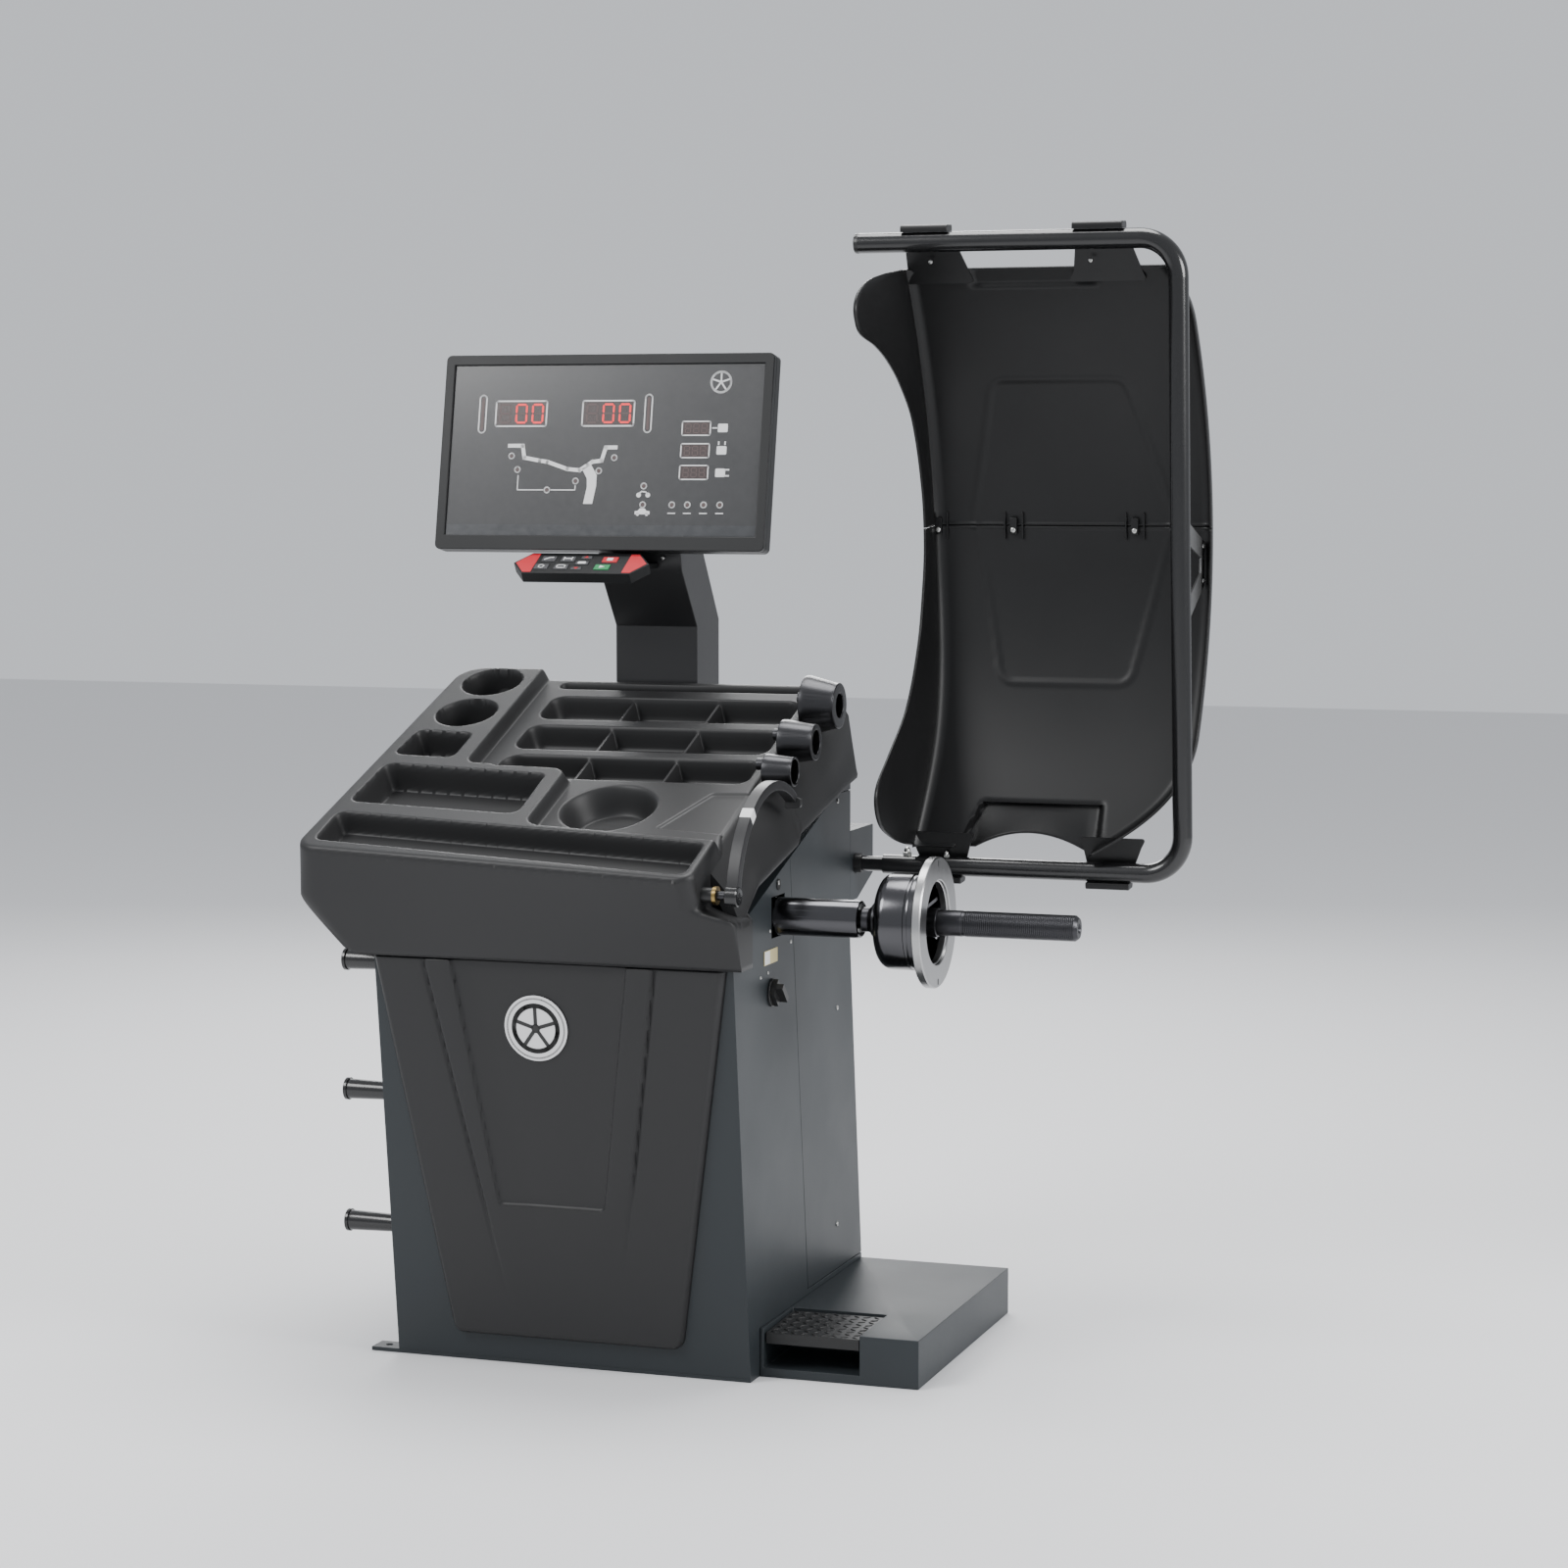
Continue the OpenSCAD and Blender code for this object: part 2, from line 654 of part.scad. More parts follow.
module flange_disc() {
    color("gainsboro") difference() {
        tube_x(flange_x - flange_t, flange_x, flange_r, 62.5);
        for (a = [0, 180]) translate([flange_x - 4, 0, spindle_z]) rotate([a, 0, 0])
            translate([0, -2, flange_r - 14]) cube([5, 4, 9]);
    }
}
module circuit_board() {
    color("darkgreen") {
        for (x = [-240, -90], y = [-60, 60]) translate([x, y, 560.2]) cylinder(h = 10, r = 4);
        translate([-250, -70, 570]) cube([170, 140, 2]);
        translate([-235, -55, 572]) cube([60, 60, 45]);
        translate([-150, -40, 572]) cube([50, 70, 12]);
        for (i = [0:3]) translate([-160 + 20*i, 50, 572]) cylinder(h = 22, r = 7);
    }
}

// ---- hood ----
module pivot_box() {
    color("slategray") difference() {
        along_x(200, half_w - 0.2) polygon([[cab_rear_y + 0.3, 804], [497, 804], [497, 722], [410, 687],
            [cab_rear_y + 0.3, 687]]);
        along_x(203, half_w - 3.2) polygon([[cab_rear_y + 3, 801], [494, 801], [494, 724], [409, 690],
            [cab_rear_y + 3, 690]]);
        rod_x(199, half_w + 1, 16, [pivot_y, pivot_z]);
    }
}
module pivot_bushes() {
    color("#1f2022") {
        tube_x(196, 215, 16, 12.55, [pivot_y, pivot_z]);
        tube_x(280, half_w + 12, 16, 12.55, [pivot_y, pivot_z]);
    }
}
module pivot_spring() {
    color("silver") for (i = [0:9]) translate([222 + 5.2*i, pivot_y, pivot_z]) rotate([0, 90, 0])
        rotate_extrude() translate([15.5, 0]) circle(2, $fn = 16);
}
module pivot_shaft() {
    color("#3a3b3d") rod_x(198, 385, 12.5, [pivot_y, pivot_z]);
}
module bend(x, z, turn) {
    translate([x, 0, z]) rotate([90, 0, 0]) rotate([0, 0, turn])
        rotate_extrude(angle = 90) translate([bend_r, 0]) circle(tube_r);
}
module hood_frame() {
    xr = tube_right_x - bend_r;
    color("#17181a") on_hood() difference() {
        union() {
            rod_x(345, xr, tube_r, [0, 0]);
            rod_x(320, xr, tube_r, [0, hood_h]);
            translate([tube_right_x, 0, bend_r]) cylinder(h = hood_h - 2*bend_r, r = tube_r);
            bend(xr, bend_r, 270);
            bend(xr, hood_h - bend_r, 0);
        }
        rod_x(344, 640, 12.6, [0, 0]);
        rod_x(319, 640, 13.5, [0, hood_h]);
    }
}
// Side view of the shell: a thin band on a large arc behind the frame
module shell_band(d0, d1) {
    difference() {
        translate([hood_bulge - arc_r, hood_mid]) circle(arc_r + d1, $fn = 180);
        translate([hood_bulge - arc_r, hood_mid]) circle(arc_r + d0, $fn = 180);
    }
}
// Front view of the shell with its round right side, legs left out
module shell_face() {
    polygon(concat([[hood_left_x, 30], [780, 30]], arc_pts(768, 112, 84, -75, -5, 8),
        [for (i = [0:8]) let (z = 180 + i*(hood_h - 330)/8)
            [hood_right_x - 17*pow((z - hood_mid)/300, 2), z]],
        arc_pts(768, hood_h - 112, 84, 5, 75, 8), [[hood_left_x, hood_h - 42]]));
}
module wing_outline() {
    difference() {
        polygon(concat([[24, 30], [-105, 62]], arc_pts(-172, 133, 32, 250, 120, 6),
            arc_pts(-222, 912, 36, 240, 100, 8), [[-143, hood_h - 46], [24, hood_h - 42]],
            [for (a = [27:-2:-31]) [hood_bulge - arc_r + arc_r*cos(a), hood_mid + arc_r*sin(a)]]));
        translate([104 - edge_r, 515]) circle(edge_r, $fn = 128);
    }
}
module hood_shell() {
    intersection() {
        along_x(hood_left_x, hood_right_x) shell_band(-hood_t, 0);
        along_y(-50, 300) shell_face();
    }
    along_x(hood_left_x, hood_left_x + hood_t) wing_outline();
}
// Leg of the shell: ends in a lip beyond the tube, runs past the tube and slopes back into the shell
module leg(x, z_end, z_shell) {
    y0 = tube_r + 0.3;
    side = sign(z_end - z_shell);
    z_bend = z_end - 45*side;
    y_in = shell_y(z_shell);
    along_x(x, x + leg_w) polygon([[y0, z_end], [y0 + hood_t, z_end], [y0 + hood_t, z_bend],
        [y_in, z_shell], [y_in - hood_t, z_shell], [y0, z_bend]]);
    translate([x + 3, -10, side > 0 ? z_end - lip_h : z_end]) cube([leg_w - 6, y0 + 11, lip_h]);
}
module hood_shell_upper() {
    color("#202124") on_hood() {
        intersection() {
            hood_shell();
            translate([0, -400, hood_mid + 0.4]) cube([1000, 800, 700]);
        }
        for (x = [402, 675]) leg(x, hood_h + 27, hood_h - 75);
    }
}
module hood_shell_lower() {
    color("#202124") on_hood() {
        intersection() {
            hood_shell();
            translate([0, -400, hood_mid - 700.4]) cube([1000, 800, 700]);
        }
        for (x = [405, 690]) leg(x, -27, 75);
    }
}
module hood_bracket() {
    color("#2c2d2f") on_hood() {
        along_x(tube_right_x + 2, tube_right_x + 6) difference() {
            polygon([[tube_r + 0.4, bracket_z - 86], [hood_bulge - 14, bracket_z - 35],
                [hood_bulge - 8, bracket_z + 35], [tube_r + 0.4, bracket_z + 86]]);
            polygon([[32, bracket_z - 44], [hood_bulge - 38, bracket_z - 12],
                [hood_bulge - 34, bracket_z + 12], [32, bracket_z + 44]]);
        }
    }
}
module hood_bolts() {
    color("silver") on_hood() {
        for (x = [430, 552, 792]) translate([x, hood_bulge - hood_t - 7, hood_mid]) {
            translate([-7, 0, -10]) cube([14, 3, 20]);
            translate([0, 3, 0]) rotate([90, 0, 0]) cylinder(h = 9, r = 4);
        }
        for (x = [375, 440]) translate([x, 0, tube_r + 0.2]) cylinder(h = 9, r = 6);
        for (x = [425, 455, 700, 735]) translate([x, -tube_r - 5, hood_h]) rotate([-90, 0, 0])
            cylinder(h = 4.8, r = 5);
    }
}

// ---- rim distance gauge ----
module gauge_guide() {
    color("#303133") tube_x(262.2, 280, rod_r + 5, rod_r + 3.05, rod_at);
}
module gauge_collar() {
    color("darkgoldenrod") {
        tube_x(258.5, 284, rod_r + 3, rod_r + 0.05, rod_at);
        tube_x(280.3, 286, 14, rod_r + 0.05, rod_at);
    }
}
module gauge_rod() {
    color("#2b2c2e") rod_x(-10, 300, rod_r, rod_at);
}
module gauge_arm() {
    color("#2b2c2e") {
        along_x(300.2, 320) difference() {
            union() {
                difference() {
                    translate(arm_c) circle(arm_r + arm_half, $fn = 128);
                    translate(arm_c) circle(arm_r - arm_half, $fn = 128);
                    translate([arm_c[0] - 300, arm_c[1] - 400]) square([800, 400 + 20]);
                    translate(arm_c) rotate(56) translate([0, -400]) square([400, 400]);
                }
                translate(rod_at) circle(16);
            }
            translate([arm_c[0] - 300, arm_c[1] - 400]) square([140, 400]);
        }
        translate([300, arm_c[0] + arm_r*cos(56) - 4, arm_c[1] + arm_r*sin(56) - 16])
            cube([26, 9, 18]);
    }
}

base_frame();
cabinet_shell();
side_panel();
rear_panel();
front_cover();
front_badge();
weight_tray();
cone_pegs();
storage_pegs();
wheel_plinth();
monitor_arm();
monitor_bracket();
monitor_housing();
monitor_bezel();
screen_glass();
display_board();
keypad_housing();
key_distance();
key_width();
key_diameter();
key_mode();
key_up();
key_enter();
key_down();
key_stop();
key_start();
spindle_support();
spindle_housing();
spindle_bearings();
piezo_sensors();
drive_motor();
drive_belt();
motor_pulley();
spindle_pulley();
encoder_disc();
spindle_shaft();
backing_bell();
flange_disc();
circuit_board();
power_switch();
switch_knob();
data_plate();
pivot_box();
pivot_bushes();
pivot_spring();
pivot_shaft();
hood_frame();
hood_shell_upper();
hood_shell_lower();
hood_bracket();
hood_bolts();
gauge_guide();
gauge_collar();
gauge_rod();
gauge_arm();
brake_pedal();
pedal_pin();
cone_large();
cone_medium();
cone_small();
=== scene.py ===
import bpy
import bmesh
import math
import numpy as np
from mathutils import Vector, Matrix


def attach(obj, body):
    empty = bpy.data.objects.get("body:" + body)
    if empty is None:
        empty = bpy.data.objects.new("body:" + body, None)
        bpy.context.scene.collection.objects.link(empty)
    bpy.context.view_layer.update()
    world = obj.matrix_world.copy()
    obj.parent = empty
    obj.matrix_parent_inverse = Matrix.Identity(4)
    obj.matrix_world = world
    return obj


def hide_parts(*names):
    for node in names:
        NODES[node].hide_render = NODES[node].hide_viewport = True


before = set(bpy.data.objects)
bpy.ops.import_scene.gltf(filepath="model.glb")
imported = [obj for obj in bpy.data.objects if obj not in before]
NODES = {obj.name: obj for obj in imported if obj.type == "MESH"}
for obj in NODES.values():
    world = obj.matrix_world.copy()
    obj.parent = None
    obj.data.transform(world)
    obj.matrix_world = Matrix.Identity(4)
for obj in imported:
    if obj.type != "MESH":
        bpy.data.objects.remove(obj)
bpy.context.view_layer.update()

# ---------------------------------------------------------------- camera
CAM_POS = (2.074, -5.225, 1.416)
CAM_PITCH = 84.8
CAM_YAW = 18.7
CAM_LENS = 82.1
cam_data = bpy.data.cameras.new("photo_camera")
cam_data.lens = CAM_LENS
cam_data.sensor_width = 36
cam_data.clip_end = 60
cam = bpy.data.objects.new("photo_camera", cam_data)
cam.location = CAM_POS
cam.rotation_euler = (math.radians(CAM_PITCH), 0, math.radians(CAM_YAW))
bpy.context.scene.collection.objects.link(cam)
bpy.context.scene.camera = cam

# ---------------------------------------------------------------- axes shared with the CAD
MM = 0.001
TO_METRES = Matrix.Scale(MM, 4)
TRAY_TILT = math.radians(22)
TRAY_ORIGIN = Vector((0, -0.280, 0.8074))
MON_TILT = math.radians(-10.5)
MON_AT = Vector((-0.103, 0.275, 1.427))
PAD_TILT = math.radians(30)
PAD_AT = Vector((-0.122, 0.225, 1.245))
HOOD_LEAN = math.radians(4.5)
PIVOT = Vector((0, 0.400, 0.748))
FRONT_Y0 = -0.132
FRONT_LEAN = 0.12
# In millimetres
STEP_H = 21
SPINDLE_Z = 708

TRAY_M = Matrix.Translation(TRAY_ORIGIN) @ Matrix.Rotation(TRAY_TILT, 4, "X")
MON_M = Matrix.Translation(MON_AT) @ Matrix.Rotation(MON_TILT, 4, "X")
PAD_M = Matrix.Translation(PAD_AT) @ Matrix.Rotation(PAD_TILT, 4, "X")
HOOD_M = Matrix.Translation(PIVOT) @ Matrix.Rotation(HOOD_LEAN, 4, "X")
HOOD_MM = HOOD_M @ TO_METRES
FRONT_M = Matrix.Translation((0, FRONT_Y0, 0)) @ Matrix.Rotation(math.atan(FRONT_LEAN), 4, "X")


# ---------------------------------------------------------------- materials
def material(name, colour, rough, metal=0.0, var=0.12, bump=0.1, size=0.004, fine=None,
             rough_var=0.08, spec=0.5, coat=0.0, stretch=(1, 1, 1), smudge=0.0, glow=0.0):
    """Procedural surface: large colour drift, fine grain as colour and bump, and uneven gloss.
    size is the grain in metres; stretch draws it out along an axis, as turning or brushing does."""
    m = bpy.data.materials.new(name)
    m.use_nodes = True
    nt = m.node_tree
    n, link = nt.nodes, nt.links
    out = n["Principled BSDF"]
    out.inputs["Metallic"].default_value = metal
    out.inputs["Specular IOR Level"].default_value = spec
    out.inputs["Coat Weight"].default_value = coat
    out.inputs["Coat Roughness"].default_value = 0.12
    co = n.new("ShaderNodeTexCoord")
    mp = n.new("ShaderNodeMapping")
    mp.inputs["Scale"].default_value = stretch
    link.new(co.outputs["Object"], mp.inputs["Vector"])
    big = n.new("ShaderNodeTexNoise")
    big.inputs["Scale"].default_value = 5
    big.inputs["Detail"].default_value = 4
    link.new(co.outputs["Object"], big.inputs["Vector"])
    small = n.new("ShaderNodeTexNoise")
    small.inputs["Scale"].default_value = 1 / size
    small.inputs["Detail"].default_value = 3
    link.new(mp.outputs["Vector"], small.inputs["Vector"])
    mix = n.new("ShaderNodeMix")
    mix.inputs["Factor"].default_value = 0.5
    link.new(big.outputs["Fac"], mix.inputs["A"])
    link.new(small.outputs["Fac"], mix.inputs["B"])
    ramp = n.new("ShaderNodeValToRGB")
    ramp.color_ramp.elements[0].position = 0.3
    ramp.color_ramp.elements[1].position = 0.7
    ramp.color_ramp.elements[0].color = [c * (1 - var) for c in colour] + [1]
    ramp.color_ramp.elements[1].color = [min(1, c * (1 + var)) for c in colour] + [1]
    link.new(mix.outputs["Result"], ramp.inputs["Fac"])
    link.new(ramp.outputs["Color"], out.inputs["Base Color"])
    rr = n.new("ShaderNodeMapRange")
    rr.inputs["From Min"].default_value = 0.3
    rr.inputs["From Max"].default_value = 0.7
    rr.inputs["To Min"].default_value = max(0.03, rough - rough_var)
    rr.inputs["To Max"].default_value = min(1, rough + rough_var)
    link.new(mix.outputs["Result"], rr.inputs["Value"])
    link.new(rr.outputs["Result"], out.inputs["Roughness"])
    if bump:
        bp = n.new("ShaderNodeBump")
        bp.inputs["Strength"].default_value = bump
        bp.inputs["Distance"].default_value = size * 0.25
        link.new(small.outputs["Fac"], bp.inputs["Height"])
        link.new(bp.outputs["Normal"], out.inputs["Normal"])
    if glow:
        out.inputs["Emission Color"].default_value = list(colour) + [1]
        out.inputs["Emission Strength"].default_value = glow
    return m


M = {
    "anthracite": material("anthracite_powder", (0.019, 0.0235, 0.0265), 0.46, spec=0.38, var=0.10,
                           bump=0.14, size=0.0011),
    "charcoal": material("charcoal_moulding", (0.0165, 0.0165, 0.017), 0.47, spec=0.36, var=0.10, bump=0.16,
                         size=0.0009),
    "shell": material("black_moulding", (0.0065, 0.0065, 0.0068), 0.40, spec=0.34, var=0.12, bump=0.10,
                      size=0.0011),
    "tube": material("black_gloss_powder", (0.0065, 0.0065, 0.007), 0.24, var=0.12, bump=0.12, size=0.0014,
                     coat=0.25),
    "arm": material("arm_powder", (0.013, 0.013, 0.014), 0.42, var=0.12, bump=0.16, size=0.0011),
    "bezel": material("bezel_plastic", (0.0085, 0.009, 0.0095), 0.46, spec=0.34, var=0.10, bump=0.12,
                      size=0.0007),
    "chrome": material("polished_dark_steel", (0.085, 0.085, 0.09), 0.17, metal=1, var=0.08, bump=0.05,
                       size=0.0008, stretch=(1, 14, 14), rough_var=0.05),
    "bright": material("turned_steel", (0.40, 0.40, 0.40), 0.28, metal=1, var=0.10, bump=0.10, size=0.0006,
                       stretch=(1, 10, 10), rough_var=0.07),
    "oxide": material("black_oxide", (0.050, 0.050, 0.054), 0.34, metal=1, var=0.18, bump=0.14, size=0.0012),
    "cone": material("cone_steel", (0.055, 0.055, 0.058), 0.30, metal=1, var=0.14, bump=0.10, size=0.0012,
                     stretch=(8, 1, 1)),
    "zinc": material("zinc_plate", (0.55, 0.55, 0.53), 0.32, metal=1, var=0.18, bump=0.12, size=0.0020),
    "tread": material("tread_plate", (0.020, 0.020, 0.020), 0.40, metal=0.3, var=0.22, bump=0.2, size=0.0018),
    "primer": material("grey_primer", (0.07, 0.07, 0.075), 0.6, var=0.15, bump=0.15, size=0.0015),
    "motor": material("motor_paint", (0.05, 0.065, 0.08), 0.42, var=0.12, bump=0.12, size=0.0012),
    "alloy": material("machined_alloy", (0.6, 0.6, 0.62), 0.3, metal=1, var=0.1, bump=0.08, size=0.0007,
                      stretch=(1, 8, 8)),
    "rubber": material("belt_rubber", (0.014, 0.014, 0.014), 0.75, var=0.15, bump=0.25, size=0.0012),
    "board": material("solder_mask", (0.015, 0.10, 0.045), 0.4, var=0.25, bump=0.1, size=0.003),
    "brass": material("worn_brass", (0.30, 0.21, 0.08), 0.3, metal=1, var=0.18, bump=0.12, size=0.0011),
    "label": material("blank_label", (0.62, 0.53, 0.26), 0.5, var=0.06, bump=0.05, size=0.002),
    "white": material("white_print", (0.72, 0.72, 0.72), 0.42, var=0.04, bump=0.05, size=0.001),
    "dim_white": material("grey_print", (0.33, 0.33, 0.33), 0.45, var=0.05, bump=0.05, size=0.001),
    "black": material("black_plastic", (0.012, 0.012, 0.012), 0.38, var=0.12, bump=0.12, size=0.0008),
    "key": material("key_grey", (0.05, 0.05, 0.054), 0.5, var=0.1, bump=0.12, size=0.0006),
    "red": material("red_print", (0.50, 0.018, 0.028), 0.4, var=0.10, bump=0.06, size=0.0009),
    "green": material("green_key", (0.012, 0.22, 0.07), 0.45, var=0.10, bump=0.06, size=0.0009),
    "led": material("red_led", (0.85, 0.012, 0.018), 0.4, var=0.06, bump=0.0, size=0.001, glow=0.9),
    "led_off": material("led_dark", (0.075, 0.045, 0.043), 0.45, var=0.1, bump=0.05, size=0.001),
    "screen": material("screen_glass", (0.034, 0.0345, 0.036), 0.24, var=0.05, bump=0.0, size=0.01,
                       rough_var=0.03, coat=0.15),
    "truss": material("truss_steel", (0.13, 0.13, 0.13), 0.42, metal=0.7, var=0.15, bump=0.12, size=0.0015),
    # Near-black painted shade, laid as thin sheets where holes and recesses stand in shadow
    "recess_shade": material("painted_recess_shade", (0.004, 0.004, 0.004), 0.7, var=0.1, bump=0.1, size=0.002),
    "led_window": material("led_window", (0.028, 0.014, 0.013), 0.3, var=0.06, bump=0.03, size=0.001,
                           coat=0.3),
    "band": material("screen_foot_band", (0.045, 0.047, 0.050), 0.2, var=0.05, bump=0.0, size=0.01, coat=0.3),
}

NODE_LOOK = {
    "anthracite": "base_frame cabinet_shell side_panel rear_panel wheel_plinth pivot_box",
    "charcoal": "front_cover weight_tray",
    "shell": "hood_shell_upper hood_shell_lower",
    "tube": "hood_frame pivot_shaft storage_pegs gauge_arm",
    "arm": "monitor_arm monitor_bracket hood_bracket",
    "bezel": "monitor_housing monitor_bezel keypad_housing",
    "chrome": "spindle_housing backing_bell",
    "bright": "flange_disc",
    "oxide": "spindle_shaft gauge_rod",
    "cone": "cone_large cone_medium cone_small cone_pegs",
    "zinc": "pedal_pin hood_bolts pivot_spring spindle_bearings encoder_disc",
    "tread": "brake_pedal",
    "primer": "spindle_support",
    "motor": "drive_motor",
    "alloy": "motor_pulley spindle_pulley",
    "rubber": "drive_belt",
    "board": "circuit_board display_board",
    "brass": "gauge_collar piezo_sensors",
    "label": "data_plate",
    "white": "front_badge",
    "black": "pivot_bushes gauge_guide power_switch switch_knob",
    "key": "key_distance key_width key_diameter key_mode key_up key_enter key_down",
    "red": "key_stop",
    "green": "key_start",
    "screen": "screen_glass",
}
for look, names in NODE_LOOK.items():
    for node in names.split():
        NODES[node].data.materials.clear()
        NODES[node].data.materials.append(M[look])


# ---------------------------------------------------------------- mesh helpers
def piece(name, verts, faces, body, look, place=None, smooth=True, angle=35):
    me = bpy.data.meshes.new(name)
    me.from_pydata([tuple(v) for v in verts], [], faces)
    ob = bpy.data.objects.new(name, me)
    bpy.context.scene.collection.objects.link(ob)
    finish_mesh(ob, body, look, place, smooth, angle)
    return ob


def finish_mesh(ob, body, look, place=None, smooth=True, angle=35):
    me = ob.data
    if place is not None:
        me.transform(place)
    bm = bmesh.new()
    bm.from_mesh(me)
    bmesh.ops.remove_doubles(bm, verts=bm.verts, dist=1e-6)
    bmesh.ops.recalc_face_normals(bm, faces=bm.faces)
    bm.to_mesh(me)
    bm.free()
    me.polygons.foreach_set("use_smooth", [smooth] * len(me.polygons))
    if smooth:
        me.set_sharp_from_angle(angle=math.radians(angle))
    me.materials.append(M[look])
    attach(ob, body)


def add_bevel(ob, width, segments=3, angle=30):
    b = ob.modifiers.new("edges", "BEVEL")
    b.width = width
    b.segments = segments
    b.limit_method = "ANGLE"
    b.angle_limit = math.radians(angle)
    b.use_clamp_overlap = True
    return ob


def grid_faces(rows, cols, wrap=False, start=0):
    """Quads between rows of points; wrap closes each row into a ring."""
    return [tuple(start + q for q in (i * cols + k, i * cols + (k + 1) % cols,
                                      (i + 1) * cols + (k + 1) % cols, (i + 1) * cols + k))
            for i in range(rows - 1) for k in range(cols if wrap else cols - 1)]


def tube_faces(rows, cols, start=0):
    """Rings joined side by side, with both ends closed."""
    last = start + (rows - 1) * cols
    return ([tuple(range(start, start + cols)), tuple(range(last + cols - 1, last - 1, -1))]
            + grid_faces(rows, cols, True, start))


def prism(name, outline, y0, y1, body, look, place=None, bevel=0.0, segments=3):
    """Outline in x and z, drawn out along y."""
    verts = [(x, y, z) for y in (y0, y1) for x, z in outline]
    ob = piece(name, verts, tube_faces(2, len(outline)), body, look, place)
    if bevel:
        add_bevel(ob, bevel, segments)
    return ob


def arc(cx, cz, r, a0, a1, n=8):
    return [(cx + r * math.cos(math.radians(a0 + (a1 - a0) * i / n)),
             cz + r * math.sin(math.radians(a0 + (a1 - a0) * i / n))) for i in range(n + 1)]


def box_of(x0, z0, x1, z1):
    return [(x0, z0), (x1, z0), (x1, z1), (x0, z1)]


def round_rect(x0, z0, x1, z1, r, n=5):
    return (arc(x1 - r, z1 - r, r, 0, 90, n) + arc(x0 + r, z1 - r, r, 90, 180, n)
            + arc(x0 + r, z0 + r, r, 180, 270, n) + arc(x1 - r, z0 + r, r, 270, 360, n))


def circle(cx, cz, r, n=20):
    turns = [2 * math.pi * i / n for i in range(n)]
    return [(cx + r * math.cos(a), cz + r * math.sin(a)) for a in turns]


def lathe(name, profile, body, look, centre, place=TO_METRES, steps=96, angle=30):
    """Profile of (x, radius) pairs turned about an axis along X at centre (y, z)."""
    verts = [(x, y, z) for x, r in profile for y, z in circle(*centre, r, steps)]
    return piece(name, verts, grid_faces(len(profile), steps, True), body, look, place, angle=angle)


# ---------------------------------------------------------------- stage and light
def stage():
    bpy.ops.mesh.primitive_plane_add(size=30, location=(0, 0, -0.0005))
    floor = bpy.context.object
    floor.name = "floor"
    fm = bpy.data.materials.new("floor_pale")
    fm.use_nodes = True
    fb = fm.node_tree.nodes["Principled BSDF"]
    fb.inputs["Base Color"].default_value = (0.74, 0.74, 0.75, 1)
    fb.inputs["Roughness"].default_value = 0.9
    floor.data.materials.append(fm)
    world = bpy.data.worlds.new("studio")
    bpy.context.scene.world = world
    world.use_nodes = True
    world.node_tree.nodes["Background"].inputs["Color"].default_value = (0.92, 0.95, 1.0, 1)
    world.node_tree.nodes["Background"].inputs["Strength"].default_value = 0.75
    for name, at, aim, size, power in (
            ("key_light", (-2.6, -3.2, 4.2), (0, 0, 0.9), 2.4, 190),
            ("top_light", (0.2, 0.8, 4.6), (0, 0, 0.8), 2.6, 170),
            ("side_light", (4.2, -0.6, 2.4), (0.3, 0, 0.8), 1.8, 130),
            ("back_light", (-1.4, 4.2, 3.0), (0, 0, 1.1), 2.2, 110)):
        ld = bpy.data.lights.new(name, "AREA")
        ld.shape = "DISK"
        ld.size = size
        ld.energy = power
        lo = bpy.data.objects.new(name, ld)
        lo.location = at
        lo.rotation_euler = (Vector(aim) - Vector(at)).to_track_quat("-Z", "Y").to_euler()
        bpy.context.scene.collection.objects.link(lo)


stage()

# ---------------------------------------------------------------- weight tray
GRID = 2.0
SKEW = math.tan(math.radians(-5))
RIM_R = 9.0
TRAY_FLOOR_Z = 651.0
LEDGE_Z = 736.0


def cross(x, s):
    return (x, s + SKEW * (x + 69))


def fillet(points, radii, n=6):
    """Closed outline with each corner rounded, outward or inward."""
    out = []
    for i, p in enumerate(points):
        p = Vector(p)
        a = Vector(points[i - 1]) - p
        b = Vector(points[(i + 1) % len(points)]) - p
        half = a.angle(b) / 2
        r = min(radii[i], 0.49 * min(a.length, b.length) * math.tan(half))
        t = r / math.tan(half)
        p0, p1 = p + a.normalized() * t, p + b.normalized() * t
        c = p + (a.normalized() + b.normalized()).normalized() * (r / math.sin(half))
        v0, v1 = p0 - c, p1 - c
        turn = math.atan2(v0.x * v1.y - v0.y * v1.x, v0.dot(v1))
        for k in range(n + 1):
            ang = turn * k / n
            out.append((c.x + v0.x * math.cos(ang) - v0.y * math.sin(ang),
                        c.y + v0.x * math.sin(ang) + v0.y * math.cos(ang)))
    return out


def inside_depth(poly, X, S):
    """Distance to the outline, positive inside."""
    d2 = np.full(X.shape, 1e12)
    odd = np.zeros(X.shape, bool)
    for i in range(len(poly)):
        (ax, ay), (bx, by) = poly[i - 1], poly[i]
        ex, ey = bx - ax, by - ay
        ll = ex * ex + ey * ey
        if ll < 1e-9:
            continue
        t = np.clip(((X - ax) * ex + (S - ay) * ey) / ll, 0, 1)
        d2 = np.minimum(d2, (X - ax - t * ex) ** 2 + (S - ay - t * ey) ** 2)
        if abs(ey) > 1e-12:
            hit = ((ay > S) != (by > S)) & (X < ax + (S - ay) * ex / ey)
            odd ^= hit
    return np.where(odd, 1, -1) * np.sqrt(d2)


def smooth(t):
    t = np.clip(t, 0, 1)
    return t * t * (3 - 2 * t)


